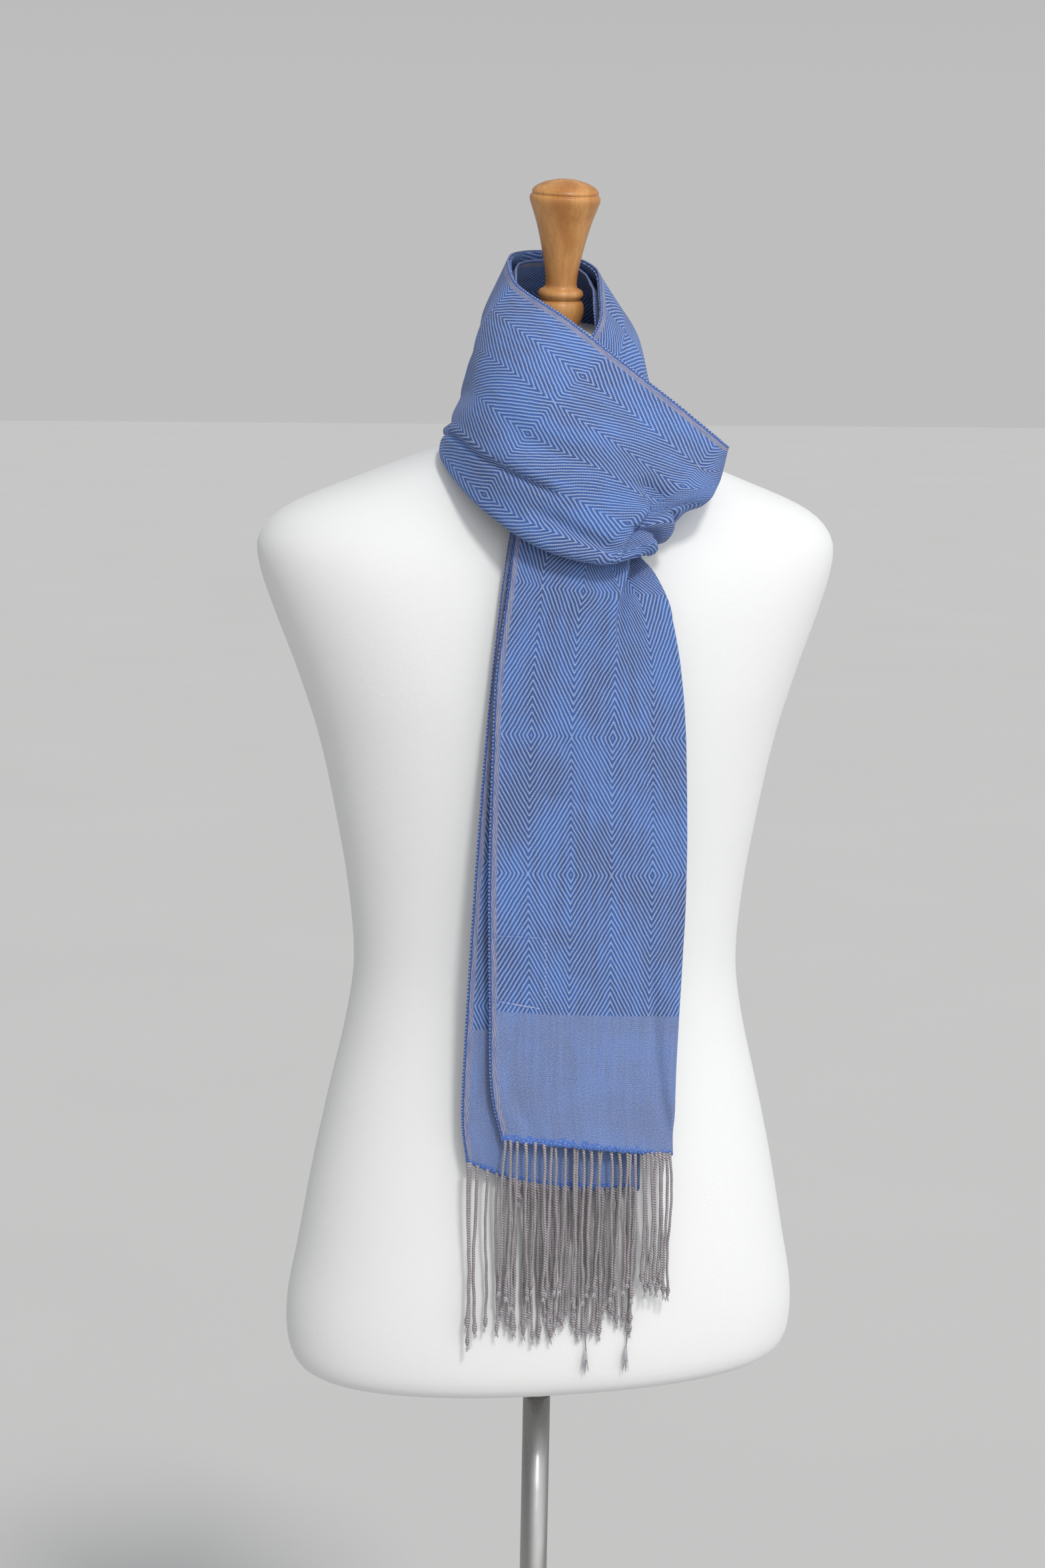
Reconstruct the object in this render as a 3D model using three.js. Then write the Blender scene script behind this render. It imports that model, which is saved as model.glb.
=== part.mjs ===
// Wool scarf worn on a limbless dress form.
// Millimetres, +Z up. The form faces -Y and +X is to the right of someone facing it.
// The origin is the centre of the underside of the round base, on the pole's axis.
//
// The scarf is one long strip, folded lengthwise so that both selvedges lie on one side and
// a soft rolled fold lies on the other. It is doubled end to end, laid round the neck, and
// both tails pass through the loop. One strand runs from the turn of the loop across the
// front as a band, round the neck and down into the front tail. The other runs inside it.
import * as THREE from 'three';

// ---- driving dimensions -------------------------------------------------------------------

const SEAM_GAP = 0.3;

const BASE_RADIUS = 190;
const BASE_THICKNESS = 6;
const BASE_EDGE = 1.5;
const FOOT_RADIUS = 28;
const FOOT_HEIGHT = 22;
const FOOT_RIM_HEIGHT = 4;
const FOOT_CONE_HEIGHT = 9;
const FOOT_COLLAR_WALL = 5;
const FOOT_COLLAR_TAPER = 1;
const POLE_RADIUS = 11;
const POLE_WALL = 1.6;
const SOCKET_RADIUS = 15;
const SOCKET_HEIGHT = 34;
const FLANGE_RADIUS = 45;
const FLANGE_THICKNESS = 4;

const TORSO_BOTTOM = 800;
const TORSO_POINTS = 36;
const TORSO_SQUARENESS = 2.25;
const TORSO_RING_SPACING = 40;

const NECK_TOP = 1612;
const NECK_CENTRE_Y = -3.5;
const NECK_LEAN = THREE.MathUtils.degToRad(7.4);
const NECK_BLOCK_GAP = 0.6;
const NECK_BLOCK_HEIGHT = 110.6;

const CLOTH_WALL = 1.6;
const FRINGE_WALL = 4.4;
const SLOPE_STEP = 1.5;
const SHARE_STEP = 0.02;

// Facets round a turned piece.
const BASE_FACETS = 56;
const STAND_FACETS = 28;
const BLOCK_FACETS = 30;

// ---- short tables -------------------------------------------------------------------------

// Torso sections: height, half width, front, back and forward tilt in degrees.
const TORSO_SECTIONS = [
  [800, 174, -92, 74, 0],
  [803, 188, -103, 85, 0],
  [812, 198, -111, 94, 0],
  [830, 203, -115, 99, 0],
  [860, 202.5, -117, 101, 0],
  [900, 195, -117, 101, 0],
  [960, 184, -112, 99, 0],
  [1020, 171, -105, 96, 0],
  [1080, 157, -98, 93, 0],
  [1125, 151, -95, 92, 0],
  [1180, 155, -96, 96, 0],
  [1240, 165, -100, 104, 0],
  [1300, 178, -104, 113, 0],
  [1350, 194, -105, 119, 0],
  [1400, 213, -101, 122, 0],
  [1430, 223, -95, 121, 0],
  [1450, 225, -88, 118, 0],
  [1464, 218, -81, 113, 0],
  [1475, 205, -75, 107, 0],
  [1485, 185, -70, 100, 0],
  [1496, 157, -64, 91, 0],
  [1507, 129, -59, 82, 0],
  [1518, 101, -55, 72, 0],
  [1531, 73, -51, 61, 0],
  [1548, 58, -49, 52, 1],
  [1575, 50, -48, 44, 4],
  [1598, 47, -48, 41, 7.4],
  [1608, 45, -47, 39, 7.4],
  [1612, 40, -43, 34, 7.4],
];

// Turned neck block: height along its own axis and radius.
const NECK_BLOCK_PROFILE = [
  [0, 13.5],
  [3, 15.2],
  [9, 17.6],
  [15, 18.2],
  [19.5, 17],
  [21.5, 15],
  [23, 16],
  [25.5, 17.2],
  [28.5, 16],
  [30.5, 12.8],
  [34, 11.9],
  [44, 12.8],
  [60, 16],
  [78, 20.6],
  [90, 24.8],
  [95, 26.4],
  [98, 26.2],
  [99.6, 24.6],
  [101.4, 25],
  [104.5, 22.4],
  [108, 15.5],
  [110, 7.5],
];

// The strand that shows. Each row is a section across the strip. Its columns are the running
// length along the strip; a point on the selvedge, points a third and two thirds of the way
// down the front ply, and a point on the fold where the strip rolls back; the radius of that
// roll; and the share of the width that the back ply covers.
const OUTER_STRAND = [
  [320, [-38, -56, 1560], [-46, -61, 1530], [-52, -68, 1508], [-56, -76, 1492], 0.9, 0.02],
  [260, [6, -60, 1560], [-2, -63, 1530], [-8, -72, 1500], [-12, -83, 1475], 0.9, 0.02],
  [215, [52, -52, 1545], [42, -61, 1516], [32, -72, 1491], [22, -85, 1471], 0.9, 0.02],
  [180, [88, -47, 1516], [76, -57, 1501], [62, -74, 1482], [41, -91, 1463], 0.9, 0.02],
  [155, [109, -56, 1524], [97, -75, 1499], [70, -97, 1478], [44, -112, 1453], 0.9, 0.02],
  [128, [117, -66, 1527], [100, -92, 1500], [63, -117, 1482], [37, -131, 1450], 1.6, 0.04],
  [100, [110, -73, 1532], [71, -110, 1497], [34, -128, 1480], [6, -138, 1452], 5, 0.2],
  [53, [66, -86, 1564], [21, -118, 1530], [-14, -130, 1502], [-39, -131, 1464], 5, 0.25],
  [0, [22, -84, 1596], [-23, -110, 1564], [-55, -114, 1528], [-77, -98, 1489], 5, 0.25],
  [-50, [-11, -67, 1622], [-51, -84, 1594], [-80, -76, 1554], [-96, -50, 1517], 5, 0.25],
  [-100, [-36, -28, 1643], [-65, -36, 1610], [-77, -28, 1565], [-90, -12, 1534], 5, 0.25],
  [-150, [-38, 2, 1660], [-57.5, 5, 1613], [-67, 10, 1570], [-84, 20, 1536.5], 5, 0.25],
  [-200, [-28, 27, 1668], [-47, 44, 1620], [-58, 56, 1570], [-72, 66, 1533], 5, 0.25],
  [-255, [0, 40, 1670], [0, 63, 1621], [0, 79, 1566], [0, 95, 1511], 5, 0.25],
  [-310, [22, 24, 1664], [48, 44, 1616], [63, 58, 1563], [82, 74, 1525], 5, 0.25],
  [-360, [29, 0, 1656], [56.5, 2, 1614], [65, 4, 1570], [94, 12, 1533.2], 5, 0.25],
  [-405, [25, -28, 1641], [55, -36, 1602], [66, -40, 1562], [93, -46, 1531], 5, 0.25],
  [-450, [17, -56, 1616], [45, -68, 1580], [61, -74, 1538], [70, -80, 1502], 4, 0.25],
  [-500, [-14, -76, 1576], [17, -88, 1545], [33, -95, 1508], [41, -99, 1474], 3, 0.5],
  [-550, [-39, -92, 1516], [-14, -101, 1496], [10, -107, 1476], [37, -110, 1456], 2.4, 0.8],
  [-590, [-49.5, -103, 1466], [-24, -114, 1456], [14, -118, 1446], [48, -117, 1438], 2.4, 0.94],
  [-630, [-56, -114, 1428], [-18, -124, 1420], [22, -126, 1416], [59, -122, 1412], 2.4, 0.94],
  [-690, [-65, -120, 1364], [-18, -127, 1362], [28, -128, 1360], [68.6, -124, 1358], 2.4, 0.94],
  [-740, [-67, -122, 1312], [-20, -127, 1311], [28, -128, 1310], [72.5, -125, 1310], 2.4, 0.94],
  [-840, [-68, -122, 1212], [-20, -126, 1211], [28, -127, 1210], [76, -124, 1210], 2.4, 0.94],
  [-940, [-66, -122, 1112], [-20, -126, 1110], [27, -126, 1109], [73, -124, 1108], 2.4, 0.94],
  [-1000, [-64, -123, 1052], [-19, -127, 1049], [26, -127, 1046], [71, -125, 1044], 2.4, 0.94],
  [-1040, [-55, -124, 1013], [-14, -128, 1009], [29, -128, 1003], [72, -125, 997], 2.4, 0.94],
];

// The tail behind, in the same columns. It steps out to the left of the front tail.
const BACK_TAIL = [
  [-560, [-46, -85, 1500], [-24, -92, 1490], [0, -97, 1476], [20, -100, 1464], 2.2, 0.9],
  [-610, [-57.5, -98, 1452], [-34, -106, 1446], [-6, -109, 1440], [20, -108, 1434], 2.2, 0.9],
  [-670, [-67, -109, 1390], [-36, -115, 1388], [-6, -116, 1386], [20, -112.5, 1384], 2.2, 0.9],
  [-740, [-73.7, -112, 1320], [-34, -117, 1319], [3, -117.5, 1318], [38, -114, 1318], 2.2, 0.9],
  [-840, [-80, -112, 1220], [-37, -116, 1219], [6, -117, 1218], [49, -114, 1218], 2.2, 0.9],
  [-960, [-86, -112, 1096], [-40, -116, 1096], [4, -117, 1095], [49, -114, 1095], 2.2, 0.9],
  [-1030, [-88, -113, 1030], [-42, -117, 1026], [3, -117, 1022], [48, -115, 1018], 2.2, 0.9],
  [-1080, [-84, -114, 996], [-42, -118, 979], [3, -118, 972], [48, -116, 969], 2.2, 0.9],
];

// Largest folds of the strand that shows, as soft troughs along a line from one place on the
// cloth to another. A place is a running length and a share of the width.
const FOLDS = [
  { from: [-75, 0.86], to: [-12, 0.84], width: 9, depth: 5 },
  { from: [-12, 0.88], to: [70, 0.8], width: 12, depth: 6 },
  { from: [95, 0.45], to: [70, 0.62], width: 13, depth: 5 },
  { from: [-585, 0.8], to: [-690, 0.72], width: 9, depth: 9 },
];

// ---- curves and walls ---------------------------------------------------------------------

// Reads a table of rows of numbers, sorted by their first number, at any place between.
function readRows(rows, place) {
  const last = rows.length - 1;
  const ascending = rows[last][0] > rows[0][0];
  let index = 0;
  const passed = (at) => (ascending ? rows[at][0] < place : rows[at][0] > place);
  while (index < last - 1 && passed(index + 1)) index += 1;
  const span = rows[index + 1][0] - rows[index][0];
  const t = THREE.MathUtils.clamp((place - rows[index][0]) / span, 0, 1);
  const slope = (at, column) => {
    const before = rows[Math.max(at - 1, 0)];
    const after = rows[Math.min(at + 1, last)];
    return (after[column] - before[column]) / (after[0] - before[0]);
  };
  return rows[index].map((start, column) => {
    const end = rows[index + 1][column];
    const lead = slope(index, column) * span;
    const trail = slope(index + 1, column) * span;
    const rise = 3 * t * t - 2 * t * t * t;
    return start + (end - start) * rise + lead * (t - 2 * t * t + t * t * t) + trail * (t * t * t - t * t);
  });
}

const flatRows = (strand) => strand.map((row) => row.flat());

// One section of a strand, as a function of the share of its width.
function sectionAt(flat, run) {
  const values = readRows(flat, run).slice(1);
  const [roll, tuck] = values.splice(-2);
  const thirds = [0, 1, 2, 3].map((third) => [third / 3, ...values.slice(third * 3, third * 3 + 3)]);
  const ply = (share) => new THREE.Vector3(...readRows(thirds, share).slice(1));
  return { ply, roll, tuck };
}

// How far the folds press the cloth in at one place.
function foldDepth(folds, run, share, width) {
  return folds.reduce((sum, fold) => {
    const here = new THREE.Vector2(run, share * width);
    const from = new THREE.Vector2(fold.from[0], fold.from[1] * width);
    const along = new THREE.Vector2(fold.to[0], fold.to[1] * width).sub(from);
    const step = THREE.MathUtils.clamp(here.clone().sub(from).dot(along) / along.lengthSq(), 0, 1);
    const away = here.distanceTo(from.addScaledVector(along, step));
    return sum + fold.depth * Math.exp(-((away / fold.width) ** 2));
  }, 0);
}

// Unit vectors at one place of the front ply: down the section, and into the cloth's back.
function slopesAt(flat, run, share) {
  const low = Math.min(share + SHARE_STEP, 1);
  const high = low - SHARE_STEP;
  const section = sectionAt(flat, run);
  const down = section.ply(low).sub(section.ply(high)).normalize();
  const ahead = sectionAt(flat, run - SLOPE_STEP).ply(share);
  const travel = ahead.sub(sectionAt(flat, run + SLOPE_STEP).ply(share));
  return { down, inward: down.clone().cross(travel).normalize() };
}

// Points of one section, from the selvedge down the front ply, round the roll and up behind.
function sectionPoints(flat, run, folds, cells) {
  const section = sectionAt(flat, run);
  const width = section.ply(0).distanceTo(section.ply(0.5)) + section.ply(0.5).distanceTo(section.ply(1));
  const pressed = (share, extra) => {
    const { inward } = slopesAt(flat, run, share);
    return section.ply(share).addScaledVector(inward, extra + foldDepth(folds, run, share, width));
  };
  const points = [];
  for (let cell = 0; cell <= cells.ply; cell += 1) points.push(pressed(cell / cells.ply, 0));
  const fold = points[cells.ply];
  const { down, inward } = slopesAt(flat, run, 1);
  for (let cell = 1; cell < cells.roll; cell += 1) {
    const turn = Math.PI * cell / cells.roll;
    const point = fold.clone().addScaledVector(inward, section.roll * (1 - Math.cos(turn)));
    points.push(point.addScaledVector(down, section.roll * Math.sin(turn)));
  }
  for (let cell = 0; cell <= cells.tuck; cell += 1) {
    points.push(pressed(1 - section.tuck * cell / cells.tuck, section.roll * 2));
  }
  return points;
}

// Closed wall of one thickness about a grid of points, each row one section. before and
// after are the same grid a little earlier and a little later along the cloth, so that two
// stretches that meet have the same slope at their seam.
function wallAbout(grid, thickness, before = null, after = null) {
  const rows = grid.length;
  const columns = grid[0].length;
  const vertices = [];
  const normalAt = (row, column) => {
    const start = before ? before[row][column] : grid[Math.max(row - 1, 0)][column];
    const end = after ? after[row][column] : grid[Math.min(row + 1, rows - 1)][column];
    const right = grid[row][Math.min(column + 1, columns - 1)];
    const across = right.clone().sub(grid[row][Math.max(column - 1, 0)]);
    return across.cross(end.clone().sub(start)).normalize();
  };
  [0.5, -0.5].forEach((side) => {
    grid.forEach((line, row) => line.forEach((point, column) => {
      vertices.push(point.clone().addScaledVector(normalAt(row, column), side * thickness));
    }));
  });
  const at = (side, row, column) => side * rows * columns + row * columns + column;
  const triangles = [];
  const quad = (a, b, c, d) => triangles.push(a, b, c, a, c, d);
  for (let row = 0; row < rows - 1; row += 1) {
    for (let column = 0; column < columns - 1; column += 1) {
      quad(at(0, row, column), at(0, row, column + 1), at(0, row + 1, column + 1), at(0, row + 1, column));
      quad(at(1, row, column), at(1, row + 1, column), at(1, row + 1, column + 1), at(1, row, column + 1));
    }
    quad(at(0, row, 0), at(0, row + 1, 0), at(1, row + 1, 0), at(1, row, 0));
    const edge = columns - 1;
    quad(at(0, row, edge), at(1, row, edge), at(1, row + 1, edge), at(0, row + 1, edge));
  }
  for (let column = 0; column < columns - 1; column += 1) {
    quad(at(0, 0, column), at(1, 0, column), at(1, 0, column + 1), at(0, 0, column + 1));
    const end = rows - 1;
    quad(at(0, end, column), at(0, end, column + 1), at(1, end, column + 1), at(1, end, column));
  }
  return solidFrom(vertices, triangles);
}

// Geometry of a closed body, turned so that its faces point out.
function solidFrom(vertices, triangles) {
  let volume = 0;
  for (let start = 0; start < triangles.length; start += 3) {
    const [a, b, c] = triangles.slice(start, start + 3).map((index) => vertices[index]);
    volume += a.dot(b.clone().cross(c));
  }
  const facing = volume > 0 ? triangles : triangles.slice().reverse();
  const geometry = new THREE.BufferGeometry();
  const numbers = vertices.flatMap((point) => point.toArray());
  geometry.setAttribute('position', new THREE.Float32BufferAttribute(numbers, 3));
  geometry.setIndex(facing);
  geometry.computeVertexNormals();
  return geometry;
}

// Even steps from one number to another, both ends included.
function steps(from, to, cells) {
  return Array.from({ length: cells + 1 }, (_, cell) => from + (to - from) * cell / cells);
}

// One stretch of a strand, between two running lengths.
function stretch(strand, from, to, lengthCells, cells, folds = []) {
  const flat = flatRows(strand);
  const runs = steps(from, to, lengthCells);
  const nudge = Math.sign(to - from) * SLOPE_STEP;
  const gridAt = (shift) => runs.map((run) => sectionPoints(flat, run + shift, folds, cells));
  return wallAbout(gridAt(0), CLOTH_WALL, gridAt(-nudge), gridAt(nudge));
}

// ---- materials ----------------------------------------------------------------------------

function finish(color, roughness, metalness) {
  return new THREE.MeshStandardMaterial({ color, roughness, metalness });
}

const clothFinish = () => finish(0x6f86bd, 0.85, 0);
const cordFinish = () => finish(0x8f8c8b, 0.8, 0);
const chromeFinish = () => finish(0xc9ccd0, 0.18, 1);

const model = new THREE.Group();
model.name = 'scarf_on_dress_form';

function add(name, geometry, material, parent = model) {
  const mesh = new THREE.Mesh(geometry, material);
  mesh.name = name;
  parent.add(mesh);
  return mesh;
}

// Turns a closed profile of radius and height pairs about Z.
function turned(profile, segments) {
  const outline = profile.map(([radius, height]) => new THREE.Vector2(radius, height));
  return new THREE.LatheGeometry(outline, segments).rotateX(Math.PI / 2);
}

// ---- stand --------------------------------------------------------------------------------

const baseTop = BASE_THICKNESS;
add('stand_base', turned([
  [0, 0],
  [BASE_RADIUS - BASE_EDGE, 0],
  [BASE_RADIUS, BASE_EDGE],
  [BASE_RADIUS, baseTop - BASE_EDGE],
  [BASE_RADIUS - BASE_EDGE, baseTop],
  [0, baseTop],
], BASE_FACETS), chromeFinish());

const footBottom = baseTop + SEAM_GAP;
add('stand_foot', turned([
  [POLE_RADIUS + SEAM_GAP, footBottom],
  [FOOT_RADIUS, footBottom],
  [FOOT_RADIUS, footBottom + FOOT_RIM_HEIGHT],
  [POLE_RADIUS + FOOT_COLLAR_WALL, footBottom + FOOT_CONE_HEIGHT],
  [POLE_RADIUS + FOOT_COLLAR_WALL - FOOT_COLLAR_TAPER, footBottom + FOOT_HEIGHT],
  [POLE_RADIUS + SEAM_GAP, footBottom + FOOT_HEIGHT],
  [POLE_RADIUS + SEAM_GAP, footBottom],
], STAND_FACETS), chromeFinish());

const flangeTop = TORSO_BOTTOM - SEAM_GAP;
const flangeBottom = flangeTop - FLANGE_THICKNESS;
const poleTop = flangeBottom - SEAM_GAP;
const poleBottom = baseTop + SEAM_GAP;
add('stand_pole', turned([
  [POLE_RADIUS - POLE_WALL, poleBottom],
  [POLE_RADIUS, poleBottom],
  [POLE_RADIUS, poleTop],
  [POLE_RADIUS - POLE_WALL, poleTop],
  [POLE_RADIUS - POLE_WALL, poleBottom],
], STAND_FACETS), chromeFinish());

add('stand_socket', turned([
  [0, flangeBottom],
  [POLE_RADIUS + SEAM_GAP, flangeBottom],
  [POLE_RADIUS + SEAM_GAP, flangeTop - SOCKET_HEIGHT],
  [SOCKET_RADIUS, flangeTop - SOCKET_HEIGHT],
  [SOCKET_RADIUS, flangeBottom],
  [FLANGE_RADIUS, flangeBottom],
  [FLANGE_RADIUS, flangeTop],
  [0, flangeTop],
], STAND_FACETS), chromeFinish());

// ---- dress form ---------------------------------------------------------------------------

// Signed power, which turns an ellipse into a slightly squarer outline.
const bulged = (value) => Math.sign(value) * Math.abs(value) ** (2 / TORSO_SQUARENESS);

function torsoRing(height) {
  const [z, halfWidth, front, back, tilt] = readRows(TORSO_SECTIONS, height);
  const lean = Math.sin(THREE.MathUtils.degToRad(tilt));
  const middle = (front + back) / 2;
  const halfDepth = (back - front) / 2;
  return steps(0, TORSO_POINTS - 1, TORSO_POINTS - 1).map((index) => {
    const angle = 2 * Math.PI * index / TORSO_POINTS;
    const forward = halfDepth * bulged(Math.sin(angle));
    return new THREE.Vector3(halfWidth * bulged(Math.cos(angle)), middle + forward, z + forward * lean);
  });
}

// Heights of the torso's rings: every tabled section, with one more between distant ones.
const torsoHeights = TORSO_SECTIONS.flatMap(([height], index) => {
  const next = TORSO_SECTIONS[index + 1];
  return next && next[0] - height > TORSO_RING_SPACING ? [height, (height + next[0]) / 2] : [height];
});

function torsoGeometry() {
  const rings = torsoHeights.map(torsoRing);
  const vertices = rings.flat();
  const triangles = [];
  for (let ring = 0; ring < rings.length - 1; ring += 1) {
    for (let index = 0; index < TORSO_POINTS; index += 1) {
      const next = (index + 1) % TORSO_POINTS;
      const low = ring * TORSO_POINTS;
      const high = low + TORSO_POINTS;
      triangles.push(low + index, low + next, high + next, low + index, high + next, high + index);
    }
  }
  const total = (ring) => ring.reduce((sum, point) => sum.add(point), new THREE.Vector3());
  [0, rings.length - 1].forEach((ring) => {
    const centre = vertices.push(total(rings[ring]).divideScalar(TORSO_POINTS)) - 1;
    for (let index = 0; index < TORSO_POINTS; index += 1) {
      const here = ring * TORSO_POINTS + index;
      const next = ring * TORSO_POINTS + (index + 1) % TORSO_POINTS;
      triangles.push(...(ring === 0 ? [centre, next, here] : [centre, here, next]));
    }
  });
  return solidFrom(vertices, triangles);
}

add('torso', torsoGeometry(), finish(0xe9e9e6, 0.9, 0));

// The neck block stands on the neck's tilted top and leans forward with it.
const blockSide = NECK_BLOCK_PROFILE.map(([height, radius]) => [radius, height]);
const blockProfile = [[0, 0], ...blockSide, [0, NECK_BLOCK_HEIGHT]];
const block = add('neck_block', turned(blockProfile, BLOCK_FACETS), finish(0xb97a45, 0.35, 0));
block.rotation.x = NECK_LEAN;
block.position.set(0, NECK_CENTRE_Y, NECK_TOP + NECK_BLOCK_GAP);

// ---- scarf --------------------------------------------------------------------------------

// Cells across the front ply, round the roll and up the back ply.
const WRAP_CELLS = { ply: 12, roll: 4, tuck: 2 };
const TAIL_CELLS = { ply: 12, roll: 4, tuck: 6 };

// Running lengths where one stretch of the strand hands over to the next.
const LOOP_HIDDEN_END = 320;
const LOOP_TURN = 158;
const LOOP_TURN_GAP = 0.8;
const BAND_LEFT = -80;
const BACK_LEFT = -180;
const BACK_RIGHT = -335;
const FRONT_TAIL_START = -478;
const FRONT_HEM = -1040;

// Name, first and last running length, cells along the length and cells across.
const halfGap = SEAM_GAP / 2;
const stretches = [
  ['scarf_loop_under', LOOP_HIDDEN_END, LOOP_TURN + LOOP_TURN_GAP, 8, WRAP_CELLS],
  ['scarf_band', LOOP_TURN, BAND_LEFT, 20, WRAP_CELLS],
  ['scarf_collar_left', BAND_LEFT, BACK_LEFT, 7, WRAP_CELLS],
  ['scarf_collar_back', BACK_LEFT, BACK_RIGHT, 10, TAIL_CELLS],
  ['scarf_collar_right', BACK_RIGHT, FRONT_TAIL_START, 9, TAIL_CELLS],
  ['scarf_tail_front', FRONT_TAIL_START, FRONT_HEM, 19, TAIL_CELLS],
];
stretches.forEach(([name, from, to, lengthCells, cells]) => {
  const geometry = stretch(OUTER_STRAND, from - halfGap, to + halfGap, lengthCells, cells, FOLDS);
  add(name, geometry, clothFinish());
});

const BACK_TAIL_TOP = -560;
const BACK_HEM = -1080;
const BACK_TAIL_CELLS = 14;
const backTail = stretch(BACK_TAIL, BACK_TAIL_TOP, BACK_HEM, BACK_TAIL_CELLS, TAIL_CELLS);
add('scarf_tail_back', backTail, clothFinish());

// The inner strand shows only round the collar's rim, inside the outer one. It stands off
// the outer strand at the rim and lies against it lower down.
const INNER_FROM = -62;
const INNER_TO = -446;
const INNER_SHARE = 0.46;
const INNER_RIM_GAP = 6.5;
const INNER_FOOT_GAP = 3;
const INNER_DROP = 2.5;
const INNER_CELLS = { length: 26, width: 5 };

function innerCollar() {
  const flat = flatRows(OUTER_STRAND);
  const grid = steps(INNER_FROM, INNER_TO, INNER_CELLS.length).map((run) => {
    const section = sectionAt(flat, run);
    return steps(0, 1, INNER_CELLS.width).map((part) => {
      const { inward } = slopesAt(flat, run, part * INNER_SHARE);
      const gap = THREE.MathUtils.lerp(INNER_RIM_GAP, INNER_FOOT_GAP, part);
      const point = section.ply(part * INNER_SHARE).addScaledVector(inward, gap);
      point.z -= INNER_DROP * (1 - part);
      return point;
    });
  });
  return wallAbout(grid, CLOTH_WALL);
}
add('scarf_collar_inner', innerCollar(), clothFinish());

// ---- fringe -------------------------------------------------------------------------------

// Plain reach of the hanging cords under each hem: left, right, front and height of the
// cords' middle plane, a row for each level.
const FRONT_FRINGE = [
  { left: [-54, 1011.8], right: [73, 996.2], front: -125.4 },
  { left: [-60, 960], right: [74, 950], front: -126.2 },
  { left: [-62, 885], right: [75, 882], front: -128.2 },
];
const BACK_FRINGE = [
  { left: [-82, 983.1], right: [48, 964.1], front: -116 },
  { left: [-84, 930], right: [49, 925], front: -120 },
  { left: [-84, 870], right: [49, 868], front: -121 },
  { left: [-40, 832], right: [44, 824], front: -120 },
];

const FRINGE_CELLS = 6;

function fringeReach(levels) {
  const shares = steps(0, 1, FRINGE_CELLS);
  const grid = levels.map(({ left, right, front }) => shares.map((share) => new THREE.Vector3(
    THREE.MathUtils.lerp(left[0], right[0], share),
    front,
    THREE.MathUtils.lerp(left[1], right[1], share),
  )));
  return wallAbout(grid, FRINGE_WALL);
}
add('fringe_front', fringeReach(FRONT_FRINGE), cordFinish());
add('fringe_back', fringeReach(BACK_FRINGE), cordFinish());

export default model;
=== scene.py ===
"""Blue wool scarf on a limbless dress form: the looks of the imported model.

Lengths in the tables are millimetres in the model's own frame: the form faces -Y, +Z is up
and +X is to the right of someone facing it. Everything made from them is in metres.
"""

import math
from functools import partial

import bpy
import numpy as np
from mathutils import Matrix, Vector


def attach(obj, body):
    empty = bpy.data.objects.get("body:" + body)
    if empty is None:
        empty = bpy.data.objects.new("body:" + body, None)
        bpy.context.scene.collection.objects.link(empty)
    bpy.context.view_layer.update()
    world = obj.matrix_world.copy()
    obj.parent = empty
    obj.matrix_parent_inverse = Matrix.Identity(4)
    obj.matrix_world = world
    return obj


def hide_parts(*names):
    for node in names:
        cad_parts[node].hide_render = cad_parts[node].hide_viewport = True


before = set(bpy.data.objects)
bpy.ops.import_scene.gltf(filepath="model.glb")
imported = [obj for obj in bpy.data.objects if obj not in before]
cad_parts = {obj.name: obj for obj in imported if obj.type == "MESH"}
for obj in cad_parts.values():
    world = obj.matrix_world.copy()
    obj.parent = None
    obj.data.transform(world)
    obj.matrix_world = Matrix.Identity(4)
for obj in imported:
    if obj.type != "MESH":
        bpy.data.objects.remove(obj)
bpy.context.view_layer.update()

MM = 0.001

# ---- tables shared with the CAD ----

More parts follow.
